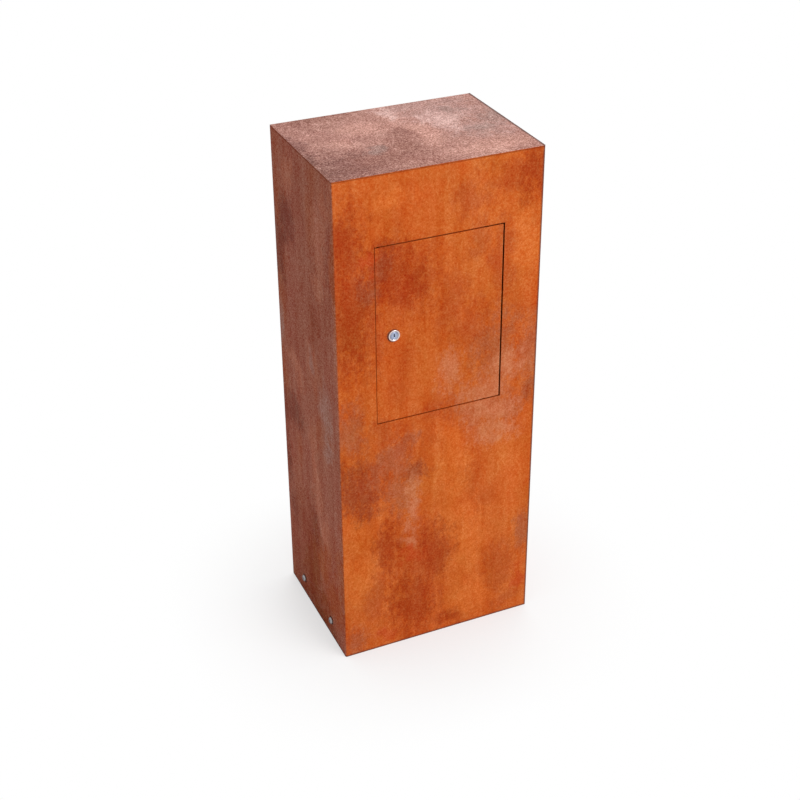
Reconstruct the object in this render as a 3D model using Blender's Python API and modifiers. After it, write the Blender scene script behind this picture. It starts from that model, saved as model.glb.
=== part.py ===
"""A pillar mailbox of folded weathering steel, at its real size.

A folded column stands on a screwed-in foot plate. Letters go in through a slot
in the rear, past a hanging flap, and drop on a floor behind the pickup door.
The door is a flush plate on two hidden pivots, shut by a cam lock.

Metres, +Z up. The origin is on the ground under the middle of the column, the
door faces -Y, and +X is to the right of someone who faces the door.
"""

import math

import bmesh
import bpy
from mathutils import Vector

# Column
WIDTH = 0.400
DEPTH = 0.297
HEIGHT = 1.006
SHEET = 0.002
BEND_RADIUS = 0.003
REAR_FLANGE = 0.025
SEAM = 0.0003  # between pieces that touch

# Door opening in the front
DOOR_SIDE_MARGIN = 0.075
DOOR_TOP_MARGIN = 0.1315
OPENING_HEIGHT = 0.354
DOOR_GAP = 0.0025  # above and below the door
LOCK_SIDE_GAP = 0.001
HINGE_SIDE_GAP = 0.003

# Letter slot in the rear
SLOT_SIDE_MARGIN = 0.035
SLOT_TOP_MARGIN = 0.0835
SLOT_HEIGHT = 0.035

# Floor under the letters
SILL_DEPTH = 0.0325
FLOOR_LIP = 0.020

# Foot plate, the screws that hold it and its anchor holes
FOOT_SHEET = 0.003
FOOT_BEND_RADIUS = 0.005
FOOT_LENGTH = 0.220
FOOT_LIP = 0.060
FOOT_CORNER = 0.010
ANCHOR_RADIUS = 0.006
ANCHOR_SIDE_INSET = 0.066
ANCHOR_END_INSET = 0.035
SCREW_LEVEL = 0.038
SCREW_END_INSET = 0.0735
SCREW_RADIUS = 0.004
SCREW_LENGTH = 0.016
SCREW_HOLE_CLEARANCE = 0.0005
HEAD_RADIUS = 0.007
HEAD_HEIGHT = 0.0044
HEAD_RIM = 0.0008
HEAD_FLAT_RADIUS = 0.0034
SOCKET_ACROSS_FLATS = 0.005
SOCKET_DEPTH = 0.0026

# Rivet nuts in the foot plate
RIVET_BODY_RADIUS = 0.0055
RIVET_FLANGE_RADIUS = 0.0075
RIVET_FLANGE = 0.001
RIVET_LENGTH = 0.016
RIVET_BULGE_RADIUS = 0.0072
RIVET_BULGE = 0.0018
RIVET_BULGE_TAPER = 0.0015

# Hinge pivots
PIVOT_EDGE_INSET = 0.012
PIVOT_DEPTH = 0.011
PIN_RADIUS = 0.003
PIN_HEAD_RADIUS = 0.005
PIN_HEAD = 0.002
PIN_TAIL = 0.002
STRIP_INSET = 0.0005
STRIP_REACH = 0.014
STRIP_HEEL = 0.010
TAB_LENGTH = 0.008
BRACKET_WIDTH = 0.030
BRACKET_LEG = 0.028
BRACKET_CLEARANCE = 0.001
HINGE_CORNER = 0.004
THRUST_RADIUS = 0.0065

# Strike angle and stops behind the edges of the opening
STOP_OVERLAP = 0.006
STOP_SEAT = 0.014
STOP_END_GAP = 0.0035
STOP_HINGE_CLEARANCE = 0.025
STRIKE_SEAT = 0.018
STRIKE_OVERRUN = 0.015
STOP_CORNER = 0.003

# Cam lock
LOCK_EDGE_INSET = 0.034
LOCK_HEAD_RADIUS = 0.011
LOCK_HEAD = 0.0022
LOCK_HEAD_ROUND = 0.0009
BARREL_RADIUS = 0.0094
BARREL_LENGTH = 0.022
BARREL_FLAT = 0.008
PLUG_RADIUS = 0.0065
PLUG_FACE_RADIUS = 0.0078
PLUG_FACE = 0.003
PLUG_SINK = 0.0005
KEYWAY_WIDTH = 0.0018
KEYWAY_HEIGHT = 0.0075
KEYWAY_DEPTH = 0.012
LOCK_WASHER_RADIUS = 0.0135
LOCK_WASHER = 0.001
LOCK_NUT_ACROSS_FLATS = 0.024
LOCK_NUT = 0.004
DRIVE_SIDE = 0.008
CAM_SHEET = 0.0025
CAM_HALF_WIDTH = 0.0075
CAM_HUB_RADIUS = 0.009
CAM_CORNER = 0.003
CAM_PAST_EDGE = 0.0005
CAM_CLEARANCE = 0.0006
CAM_STRIKE_CLEARANCE = 0.0016
CAM_SCREW_RADIUS = 0.0025
CAM_SCREW_LENGTH = 0.009
CAM_SCREW_HEAD_RADIUS = 0.0045
CAM_SCREW_HEAD = 0.0028
CAM_WASHER_RADIUS = 0.0065
CAM_WASHER = 0.001

# Letter flap, its rod and its ears
FLAP_SHEET = 0.0015
ROD_RADIUS = 0.0025
ROD_HEAD_RADIUS = 0.004
ROD_HEAD = 0.0012
ROD_TAIL = 0.0015
CLIP_RADIUS = 0.004
CLIP = 0.0008
KNUCKLE_TURN = math.radians(270)
FLAP_HANG_ABOVE_SLOT = 0.008
FLAP_SIDE_OVERLAP = 0.006
FLAP_FOOT_OVERLAP = 0.007
FLAP_LIP = 0.015
FLAP_BEND_RADIUS = 0.0005
FLAP_CORNER = 0.005
EAR_FOOT = 0.012
EAR_DEPTH = 0.010
EAR_BELOW_ROD = 0.007
EAR_ABOVE_ROD = 0.020
EAR_FOOT_ABOVE_ROD = 0.0055
EAR_BEND_RADIUS = 0.0016
EAR_CORNER = 0.003

# Running clearances and small edges
RUNNING_CLEARANCE = 0.0003
EDGE_BREAK = 0.0004
CUT_OVERRUN = 0.010
BEND_STEPS = 4
CORNER_STEPS = 4
DOME_STEPS = 6
KNUCKLE_STEPS = 12
ROUND_SIDES = 32
SMALL_SIDES = 24
HEXAGON = 6
SHARP_ANGLE = math.radians(35)
SAME_POINT = 0.00001

# Directions that a piece's own Z is turned to
FACING_UP = (0.0, 0.0, 0.0)
FACING_DOWN = (math.pi, 0.0, 0.0)
FACING_FRONT = (math.pi / 2, 0.0, 0.0)
FACING_REAR = (-math.pi / 2, 0.0, 0.0)
FACING_LEFT = (0.0, -math.pi / 2, 0.0)
FACING_RIGHT = (0.0, math.pi / 2, 0.0)
ALONG_X = (math.pi / 2, 0.0, math.pi / 2)

# Planes and lines that several pieces share
FRONT = -DEPTH / 2
FRONT_BACK = FRONT + SHEET
REAR = DEPTH / 2
REAR_BACK = REAR - SHEET
SIDE = WIDTH / 2
SIDE_BACK = SIDE - SHEET
WALL_TOP = HEIGHT - SHEET - SEAM
BEHIND_FRONT = FRONT_BACK + SEAM
BEFORE_REAR = REAR_BACK - SEAM

OPENING_SIDE = SIDE - DOOR_SIDE_MARGIN
OPENING_TOP = HEIGHT - DOOR_TOP_MARGIN
OPENING_BOTTOM = OPENING_TOP - OPENING_HEIGHT
LEAF_LEFT = -OPENING_SIDE + LOCK_SIDE_GAP
LEAF_RIGHT = OPENING_SIDE - HINGE_SIDE_GAP
LEAF_TOP = OPENING_TOP - DOOR_GAP
LEAF_BOTTOM = OPENING_BOTTOM + DOOR_GAP

PIVOT_X = LEAF_RIGHT - PIVOT_EDGE_INSET
PIVOT_Y = FRONT + PIVOT_DEPTH
PIN_HOLE = PIN_RADIUS + RUNNING_CLEARANCE
STRIP_TOP = LEAF_TOP - STRIP_INSET
STRIP_BOTTOM = LEAF_BOTTOM + STRIP_INSET
BRACKET_TOP = OPENING_TOP + BRACKET_CLEARANCE
BRACKET_BOTTOM = OPENING_BOTTOM - BRACKET_CLEARANCE
TAB_END = PIVOT_Y + TAB_LENGTH

LOCK_X = LEAF_LEFT + LOCK_EDGE_INSET
LOCK_Z = (LEAF_TOP + LEAF_BOTTOM) / 2
BARREL_HOLE = BARREL_RADIUS + SEAM
BARREL_END = FRONT + BARREL_LENGTH
CAM_FRONT = BARREL_END + CAM_CLEARANCE
CAM_BACK = CAM_FRONT + CAM_SHEET
DRIVE_END = CAM_BACK + SEAM
STRIKE_END = CAM_FRONT - CAM_STRIKE_CLEARANCE
STRIKE_EDGE = LEAF_LEFT + STOP_OVERLAP

SLOT_SIDE = SIDE - SLOT_SIDE_MARGIN
SLOT_TOP = HEIGHT - SLOT_TOP_MARGIN
SLOT_BOTTOM = SLOT_TOP - SLOT_HEIGHT
ROD_HOLE = ROD_RADIUS + RUNNING_CLEARANCE
KNUCKLE_RADIUS = ROD_HOLE + FLAP_SHEET
FLAP_Y = BEFORE_REAR - KNUCKLE_RADIUS
FLAP_Z = SLOT_TOP + FLAP_HANG_ABOVE_SLOT
FLAP_SIDE = SLOT_SIDE + FLAP_SIDE_OVERLAP
EAR_INSIDE = FLAP_SIDE + RUNNING_CLEARANCE
EAR_OUTSIDE = EAR_INSIDE + FLAP_SHEET

FLOOR_LEVEL = OPENING_BOTTOM - SILL_DEPTH
FLOOR_SIDE = SIDE_BACK - SEAM - max(BEND_RADIUS, SHEET) - SEAM
FOOT_SIDE = SIDE_BACK - SEAM - RIVET_FLANGE - SEAM
SCREW_Y = REAR - SCREW_END_INSET
ANCHOR_X = FOOT_SIDE - ANCHOR_SIDE_INSET
ANCHOR_Y = FOOT_LENGTH / 2 - ANCHOR_END_INSET

# Colour, roughness and metallic value of each finish
RUST = ((0.42, 0.115, 0.03), 0.85, 0.15)
DARK_RUST = ((0.17, 0.06, 0.035), 0.85, 0.2)
CHROME = ((0.62, 0.65, 0.70), 0.15, 1.0)
STAINLESS = ((0.55, 0.56, 0.58), 0.28, 1.0)
ZINC = ((0.42, 0.43, 0.44), 0.45, 1.0)
NYLON = ((0.72, 0.71, 0.66), 0.55, 0.0)


def clear_scene():
    for obj in list(bpy.data.objects):
        bpy.data.objects.remove(obj, do_unlink=True)


def new_collection(name):
    collection = bpy.data.collections.new(name)
    bpy.context.scene.collection.children.link(collection)


def place_object(obj, place, turn):
    obj.location = place
    obj.rotation_euler = turn
    return obj


def finish_part(obj, finish):
    """Files the object with the parts and gives it a material of its own."""
    colour, roughness, metallic = finish
    material = bpy.data.materials.new(obj.name)
    material.use_nodes = True
    shader = material.node_tree.nodes["Principled BSDF"]
    shader.inputs["Base Color"].default_value = (*colour, 1.0)
    shader.inputs["Roughness"].default_value = roughness
    shader.inputs["Metallic"].default_value = metallic
    material.diffuse_color = (*colour, 1.0)
    obj.data.materials.append(material)
    bpy.data.collections["rusty_mailbox"].objects.link(obj)
    return obj


def cutter(obj):
    """Files the object with the cutters, out of the render."""
    bpy.data.collections["cutters"].objects.link(obj)
    obj.display_type = "WIRE"
    obj.hide_render = True
    return obj


def cut(obj, *tools):
    for tool in tools:
        boolean = obj.modifiers.new(tool.name, "BOOLEAN")
        boolean.operation = "DIFFERENCE"
        boolean.solver = "EXACT"
        boolean.object = tool


def mesh_object(name, bm):
    mesh = bpy.data.meshes.new(name)
    bm.to_mesh(mesh)
    bm.free()
    return bpy.data.objects.new(name, mesh)


def block(name, low, high):
    """A box from its lowest to its highest corner."""
    low, high = Vector(low), Vector(high)
    bm = bmesh.new()
    bmesh.ops.create_cube(bm, size=1.0)
    bmesh.ops.scale(bm, vec=high - low, verts=bm.verts)
    return place_object(mesh_object(name, bm), (low + high) / 2, FACING_UP)


def prism(name, radius, length, sides, place, turn):
    """A cylinder, or a bar with few sides, centred on its place."""
    bm = bmesh.new()
    bmesh.ops.create_cone(
        bm, cap_ends=True, segments=sides, radius1=radius, radius2=radius, depth=length
    )
    return place_object(mesh_object(name, bm), place, turn)


def smooth_round_faces(obj):
    """Makes the modifiers' result the object's mesh, smooth but for its real edges."""
    bpy.context.view_layer.update()
    graph = bpy.context.evaluated_depsgraph_get()
    mesh = bpy.data.meshes.new_from_object(obj.evaluated_get(graph))
    mesh.shade_smooth()
    mesh.set_sharp_from_angle(angle=SHARP_ANGLE)
    obj.modifiers.clear()
    obj.data = mesh


def turned(name, profile, finish, place, turn, sides=ROUND_SIDES):
    """A profile of (radius, height) points, top to bottom, turned about its own Z."""
    on_axis = profile[0][0] == 0
    edges = [(i, i + 1) for i in range(len(profile) - 1)]
    if not on_axis:
        edges.append((len(profile) - 1, 0))
    mesh = bpy.data.meshes.new(name)
    mesh.from_pydata([(radius, 0, height) for radius, height in profile], edges, [])
    obj = place_object(bpy.data.objects.new(name, mesh), place, turn)
    screw = obj.modifiers.new("Turn", "SCREW")
    screw.steps = sides
    screw.render_steps = sides
    screw.use_merge_vertices = True
    screw.merge_threshold = SAME_POINT
    finish_part(obj, finish)
    smooth_round_faces(obj)
    return obj


def ring(name, inner, outer, thickness, finish, place, turn, sides=ROUND_SIDES):
    """A washer that lies on its place and rises by its thickness."""
    profile = [
        (inner, thickness),
        (outer - EDGE_BREAK, thickness),
        (outer, thickness - EDGE_BREAK),
        (outer, EDGE_BREAK),
        (outer - EDGE_BREAK, 0),
        (inner, 0),
    ]
    return turned(name, profile, finish, place, turn, sides)


def headed_pin(name, radius, length, head_radius, head, finish, place, turn, sides):
    """A pin whose head sits on its place and whose shank hangs below it."""
    profile = [
        (0, head),
        (head_radius - EDGE_BREAK, head),
        (head_radius, head - EDGE_BREAK),
        (head_radius, 0),
        (radius, 0),
        (radius, EDGE_BREAK - length),
        (radius - EDGE_BREAK, -length),
        (0, -length),
    ]
    return turned(name, profile, finish, place, turn, sides)


def folded_sheet(
    name,
    path,
    span,
    thickness,
    bend_radius,
    finish,
    place=(0, 0, 0),
    turn=FACING_UP,
    on_right=False,
    corner_radius=0.0,
    rounded_ends=(0, -1),
):
    """A sheet whose skin follows a flat path and whose metal lies to its left.

    The path lies in the piece's own XY plane and is drawn along its own Z over
    the span. With on_right the metal lies to the right of the path. The corners
    at the path's rounded ends are cut round.
    """
    bm = bmesh.new()
    rows = [[bm.verts.new((x, y, z)) for x, y in path] for z in span]
    for i in range(len(path) - 1):
        bm.faces.new((rows[0][i], rows[0][i + 1], rows[1][i + 1], rows[1][i]))
    bm.verts.index_update()
    corners = [row[end].index for row in rows for end in rounded_ends]
    obj = mesh_object(name, bm)
    place_object(obj, place, turn)
    if corner_radius > 0:
        obj.vertex_groups.new(name="Corners").add(corners, 1.0, "REPLACE")
        cut_round = obj.modifiers.new("Corners", "BEVEL")
        cut_round.affect = "VERTICES"
        cut_round.limit_method = "VGROUP"
        cut_round.vertex_group = "Corners"
        cut_round.width = corner_radius
        cut_round.segments = CORNER_STEPS
    bends = obj.modifiers.new("Bends", "BEVEL")
    bends.width = bend_radius
    bends.segments = BEND_STEPS
    metal = obj.modifiers.new("Sheet", "SOLIDIFY")
    metal.thickness = thickness
    metal.offset = 1 if on_right else -1
    metal.use_even_offset = True
    return finish_part(obj, finish)


def arc(centre, radius, start, sweep, steps):
    """Points along an arc, both ends included."""
    angles = [start + sweep * i / steps for i in range(steps + 1)]
    return [
        (centre[0] + radius * math.cos(a), centre[1] + radius * math.sin(a))
        for a in angles
    ]


def flat_plate(name, outlines, thickness, finish, place, turn):
    """A plate of the first outline, with the other outlines as its holes."""
    curve = bpy.data.curves.new(name, "CURVE")
    curve.dimensions = "2D"
    curve.fill_mode = "BOTH"
    curve.extrude = thickness / 2
    for outline in outlines:
        spline = curve.splines.new("POLY")
        spline.points.add(len(outline) - 1)
        for point, (x, y) in zip(spline.points, outline):
            point.co = (x, y, 0, 1)
        spline.use_cyclic_u = True
    obj = place_object(bpy.data.objects.new(name, curve), place, turn)
    return finish_part(obj, finish)


def regular_outline(radius, sides):
    """A regular polygon, or with many sides a circle, with a corner on its +X side."""
    return arc((0, 0), radius, 0, math.tau * (1 - 1 / sides), sides - 1)


def rectangle(left, right, bottom, top):
    return [(left, bottom), (right, bottom), (right, top), (left, top)]


def rounded_rectangle(left, right, bottom, top, radius):
    quarter = math.pi / 2
    corners = (
        (left + radius, bottom + radius, math.pi),
        (right - radius, bottom + radius, -quarter),
        (right - radius, top - radius, 0),
        (left + radius, top - radius, quarter),
    )
    outline = []
    for x, y, start in corners:
        outline += arc((x, y), radius, start, quarter, CORNER_STEPS)
    return outline


def double_d(radius, flat):
    """A circle with its two sides cut flat, as round a lock barrel."""
    half = math.acos(flat / radius)
    sweep = math.pi - 2 * half
    steps = ROUND_SIDES // 2
    upper = arc((0, 0), radius, half, sweep, steps)
    lower = arc((0, 0), radius, half + math.pi, sweep, steps)
    return upper + lower


def build_column():
    walls = folded_sheet(
        "column_wrap",
        [(-SIDE, REAR), (-SIDE, FRONT), (SIDE, FRONT), (SIDE, REAR)],
        (0, WALL_TOP),
        SHEET,
        BEND_RADIUS,
        RUST,
    )
    opening = block(
        "door_opening",
        (-OPENING_SIDE, FRONT - CUT_OVERRUN, OPENING_BOTTOM),
        (OPENING_SIDE, FRONT + CUT_OVERRUN, OPENING_TOP),
    )
    cut(walls, cutter(opening))
    for end, y in (("front", -SCREW_Y), ("rear", SCREW_Y)):
        hole = prism(
            f"screw_hole_{end}",
            SCREW_RADIUS + SCREW_HOLE_CLEARANCE,
            WIDTH + CUT_OVERRUN,
            SMALL_SIDES,
            (0, y, SCREW_LEVEL),
            FACING_RIGHT,
        )
        cut(walls, cutter(hole))

    inside = SIDE_BACK - SEAM
    flange_end = REAR - REAR_FLANGE
    rear = folded_sheet(
        "rear_panel",
        [(inside, flange_end), (inside, REAR), (-inside, REAR), (-inside, flange_end)],
        (0, WALL_TOP),
        SHEET,
        BEND_RADIUS,
        RUST,
    )
    slot = block(
        "letter_slot",
        (-SLOT_SIDE, REAR - CUT_OVERRUN, SLOT_BOTTOM),
        (SLOT_SIDE, REAR + CUT_OVERRUN, SLOT_TOP),
    )
    cut(rear, cutter(slot))

    corner = BEND_RADIUS
    outline = [(SIDE, REAR), (-SIDE, REAR)]
    outline += arc(
        (-SIDE + corner, FRONT + corner), corner, math.pi, math.pi / 2, CORNER_STEPS
    )
    outline += arc(
        (SIDE - corner, FRONT + corner), corner, -math.pi / 2, math.pi / 2, CORNER_STEPS
    )
    flat_plate(
        "top_plate",
        [outline],
        SHEET,
        RUST,
        (0, 0, HEIGHT - SHEET / 2),
        FACING_UP,
    )

    lip_end = FLOOR_LEVEL - FLOOR_LIP
    folded_sheet(
        "mail_floor",
        [
            (BEHIND_FRONT, lip_end),
            (BEHIND_FRONT, FLOOR_LEVEL),
            (BEFORE_REAR, FLOOR_LEVEL),
            (BEFORE_REAR, lip_end),
        ],
        (-FLOOR_SIDE, FLOOR_SIDE),
        SHEET,
        BEND_RADIUS,
        DARK_RUST,
        turn=ALONG_X,
        on_right=True,
    )


def rivet_nut_profile():
    """A flange outside the foot plate and a crimped bulge inside it."""
    bore = SCREW_RADIUS + RUNNING_CLEARANCE
    crimp = -FOOT_SHEET - SEAM
    return [
        (bore, SEAM + RIVET_FLANGE),
        (RIVET_FLANGE_RADIUS, SEAM + RIVET_FLANGE),
        (RIVET_FLANGE_RADIUS, SEAM),
        (RIVET_BODY_RADIUS, SEAM),
        (RIVET_BODY_RADIUS, crimp),
        (RIVET_BULGE_RADIUS, crimp),
        (RIVET_BULGE_RADIUS, crimp - RIVET_BULGE),
        (RIVET_BODY_RADIUS, crimp - RIVET_BULGE - RIVET_BULGE_TAPER),
        (RIVET_BODY_RADIUS, -RIVET_LENGTH),
        (bore, -RIVET_LENGTH),
    ]


def button_screw_profile():
    """A domed head over a plain shank."""
    dome = [(0, HEAD_HEIGHT)]
    for i in range(DOME_STEPS + 1):
        angle = math.pi / 2 * i / DOME_STEPS
        radius = HEAD_FLAT_RADIUS + (HEAD_RADIUS - HEAD_FLAT_RADIUS) * math.sin(angle)
        height = HEAD_RIM + (HEAD_HEIGHT - HEAD_RIM) * math.cos(angle)
        dome.append((radius, height))
    return dome + [
        (HEAD_RADIUS, 0),
        (SCREW_RADIUS, 0),
        (SCREW_RADIUS, EDGE_BREAK - SCREW_LENGTH),
        (SCREW_RADIUS - EDGE_BREAK, -SCREW_LENGTH),
        (0, -SCREW_LENGTH),
    ]


def build_foot():
    plate = folded_sheet(
        "foot_plate",
        [(-FOOT_SIDE, FOOT_LIP), (-FOOT_SIDE, 0), (FOOT_SIDE, 0), (FOOT_SIDE, FOOT_LIP)],
        (-FOOT_LENGTH / 2, FOOT_LENGTH / 2),
        FOOT_SHEET,
        FOOT_BEND_RADIUS,
        ZINC,
        turn=FACING_FRONT,
        corner_radius=FOOT_CORNER,
    )
    for side, x in (("left", -ANCHOR_X), ("right", ANCHOR_X)):
        for end, y in (("front", -ANCHOR_Y), ("rear", ANCHOR_Y)):
            anchor = prism(
                f"anchor_hole_{side}_{end}",
                ANCHOR_RADIUS,
                FOOT_SHEET + CUT_OVERRUN,
                SMALL_SIDES,
                (x, y, 0),
                FACING_UP,
            )
            cut(plate, cutter(anchor))
    for end, y in (("front", -SCREW_Y), ("rear", SCREW_Y)):
        seat = prism(
            f"rivet_hole_{end}",
            RIVET_BODY_RADIUS + SEAM,
            WIDTH,
            SMALL_SIDES,
            (0, y, SCREW_LEVEL),
            FACING_RIGHT,
        )
        cut(plate, cutter(seat))
    socket_radius = SOCKET_ACROSS_FLATS / math.sqrt(3)
    for side, sign, turn in (("left", -1, FACING_LEFT), ("right", 1, FACING_RIGHT)):
        for end, y in (("front", -SCREW_Y), ("rear", SCREW_Y)):
            turned(
                f"rivet_nut_{side}_{end}",
                rivet_nut_profile(),
                ZINC,
                (sign * FOOT_SIDE, y, SCREW_LEVEL),
                turn,
                SMALL_SIDES,
            )
            head_seat = sign * (SIDE + SEAM)
            screw = turned(
                f"foot_screw_{side}_{end}",
                button_screw_profile(),
                STAINLESS,
                (head_seat, y, SCREW_LEVEL),
                turn,
                SMALL_SIDES,
            )
            socket = prism(
                f"socket_{side}_{end}",
                socket_radius,
                2 * SOCKET_DEPTH,
                HEXAGON,
                (head_seat + sign * HEAD_HEIGHT, y, SCREW_LEVEL),
                turn,
            )
            cut(screw, cutter(socket))


def build_door_frame():
    """What stands behind the edges of the opening: strike, stops, brackets and pins."""
    folded_sheet(
        "strike_angle",
        [
            (-OPENING_SIDE - STRIKE_SEAT, BEHIND_FRONT),
            (STRIKE_EDGE, BEHIND_FRONT),
            (STRIKE_EDGE, STRIKE_END),
        ],
        (OPENING_BOTTOM - STRIKE_OVERRUN, OPENING_TOP + STRIKE_OVERRUN),
        SHEET,
        BEND_RADIUS,
        DARK_RUST,
        corner_radius=STOP_CORNER,
    )
    left = STRIKE_EDGE + STOP_END_GAP
    right = PIVOT_X - STOP_HINGE_CLEARANCE
    overlap = DOOR_GAP + STOP_OVERLAP
    stops = (
        ("door_stop_top", OPENING_TOP - overlap, OPENING_TOP + STOP_SEAT),
        ("door_stop_bottom", OPENING_BOTTOM - STOP_SEAT, OPENING_BOTTOM + overlap),
    )
    for name, low, high in stops:
        flat_plate(
            name,
            [rounded_rectangle(left, right, low, high, STOP_CORNER)],
            SHEET,
            DARK_RUST,
            (0, BEHIND_FRONT + SHEET / 2, 0),
            FACING_FRONT,
        )

    washer = BRACKET_TOP - STRIP_TOP - 2 * RUNNING_CLEARANCE
    shank = SEAM + SHEET + (BRACKET_TOP - STRIP_TOP) + SHEET + PIN_TAIL
    ends = (
        ("upper", BRACKET_TOP, STRIP_TOP, 1, FACING_UP),
        ("lower", BRACKET_BOTTOM, STRIP_BOTTOM, -1, FACING_DOWN),
    )
    for end, bracket_face, strip_face, up, turn in ends:
        bracket = folded_sheet(
            f"hinge_bracket_{end}",
            [
                (TAB_END, bracket_face),
                (BEHIND_FRONT, bracket_face),
                (BEHIND_FRONT, bracket_face + up * BRACKET_LEG),
            ],
            (PIVOT_X - BRACKET_WIDTH / 2, PIVOT_X + BRACKET_WIDTH / 2),
            SHEET,
            BEND_RADIUS,
            DARK_RUST,
            turn=ALONG_X,
            on_right=up > 0,
            corner_radius=HINGE_CORNER,
        )
        bore = prism(
            f"bracket_bore_{end}",
            PIN_HOLE,
            CUT_OVERRUN,
            SMALL_SIDES,
            (PIVOT_X, PIVOT_Y, bracket_face),
            FACING_UP,
        )
        cut(bracket, cutter(bore))
        headed_pin(
            f"hinge_pin_{end}",
            PIN_RADIUS,
            shank,
            PIN_HEAD_RADIUS,
            PIN_HEAD,
            STAINLESS,
            (PIVOT_X, PIVOT_Y, bracket_face + up * (SHEET + SEAM)),
            turn,
            SMALL_SIDES,
        )
        ring(
            f"thrust_washer_{end}",
            PIN_HOLE,
            THRUST_RADIUS,
            washer,
            NYLON,
            (PIVOT_X, PIVOT_Y, strip_face + up * RUNNING_CLEARANCE),
            turn,
            SMALL_SIDES,
        )


def build_door():
    """The leaf and its hinge strip, which turn on the pins."""
    hole = [
        (LOCK_X + x, LOCK_Z + z) for x, z in double_d(BARREL_HOLE, BARREL_FLAT + SEAM)
    ]
    leaf = flat_plate(
        "door_leaf",
        [rectangle(LEAF_LEFT, LEAF_RIGHT, LEAF_BOTTOM, LEAF_TOP), hole],
        SHEET,
        RUST,
        (0, FRONT + SHEET / 2, 0),
        FACING_FRONT,
    )
    strip = folded_sheet(
        "hinge_strip",
        [
            (TAB_END, STRIP_TOP),
            (BEHIND_FRONT, STRIP_TOP),
            (BEHIND_FRONT, STRIP_BOTTOM),
            (TAB_END, STRIP_BOTTOM),
        ],
        (PIVOT_X - STRIP_REACH, PIVOT_X + STRIP_HEEL),
        SHEET,
        BEND_RADIUS,
        DARK_RUST,
        turn=ALONG_X,
        corner_radius=HINGE_CORNER,
    )
    for end, level in (("upper", STRIP_TOP), ("lower", STRIP_BOTTOM)):
        bore = prism(
            f"strip_bore_{end}",
            PIN_HOLE,
            CUT_OVERRUN,
            SMALL_SIDES,
            (PIVOT_X, PIVOT_Y, level),
            FACING_UP,
        )
        cut(strip, cutter(bore))
    return [leaf, strip]


def build_lock_case():
    """The lock's fixed half: the barrel through the leaf, its washer and its nut."""
    front = LOCK_HEAD + SEAM
    face_bore = PLUG_FACE_RADIUS + RUNNING_CLEARANCE
    plug_bore = PLUG_RADIUS + RUNNING_CLEARANCE
    face_floor = front - PLUG_SINK - PLUG_FACE - RUNNING_CLEARANCE
    rim = arc(
        (LOCK_HEAD_RADIUS - LOCK_HEAD_ROUND, front - LOCK_HEAD_ROUND),
        LOCK_HEAD_ROUND,
        math.pi / 2,
        -math.pi / 2,
        CORNER_STEPS,
    )
    profile = [(face_bore, front)] + rim
    profile += [
        (LOCK_HEAD_RADIUS, SEAM),
        (BARREL_RADIUS, SEAM),
        (BARREL_RADIUS, EDGE_BREAK - BARREL_LENGTH),
        (BARREL_RADIUS - EDGE_BREAK, -BARREL_LENGTH),
        (plug_bore, -BARREL_LENGTH),
        (plug_bore, face_floor),
        (face_bore, face_floor),
    ]
    body = turned("lock_body", profile, CHROME, (LOCK_X, FRONT, LOCK_Z), FACING_FRONT)
    for side, sign in (("left", -1), ("right", 1)):
        near = sign * BARREL_FLAT
        far = sign * (BARREL_RADIUS + CUT_OVERRUN)
        flat = block(
            f"barrel_flat_{side}",
            (LOCK_X + min(near, far), FRONT - SEAM, LOCK_Z - BARREL_RADIUS),
            (LOCK_X + max(near, far), BARREL_END + CUT_OVERRUN, LOCK_Z + BARREL_RADIUS),
        )
        cut(body, cutter(flat))

    washer_seat = FRONT_BACK + SEAM
    washer = ring(
        "lock_washer",
        BARREL_HOLE,
        LOCK_WASHER_RADIUS,
        LOCK_WASHER,
        ZINC,
        (LOCK_X, washer_seat, LOCK_Z),
        FACING_REAR,
    )
    nut_middle = washer_seat + LOCK_WASHER + SEAM + LOCK_NUT / 2
    nut = flat_plate(
        "lock_nut",
        [
            regular_outline(LOCK_NUT_ACROSS_FLATS / math.sqrt(3), HEXAGON),
            regular_outline(BARREL_HOLE, ROUND_SIDES),
        ],
        LOCK_NUT,
        ZINC,
        (LOCK_X, nut_middle, LOCK_Z),
        FACING_FRONT,
    )
    return [body, washer, nut]


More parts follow.
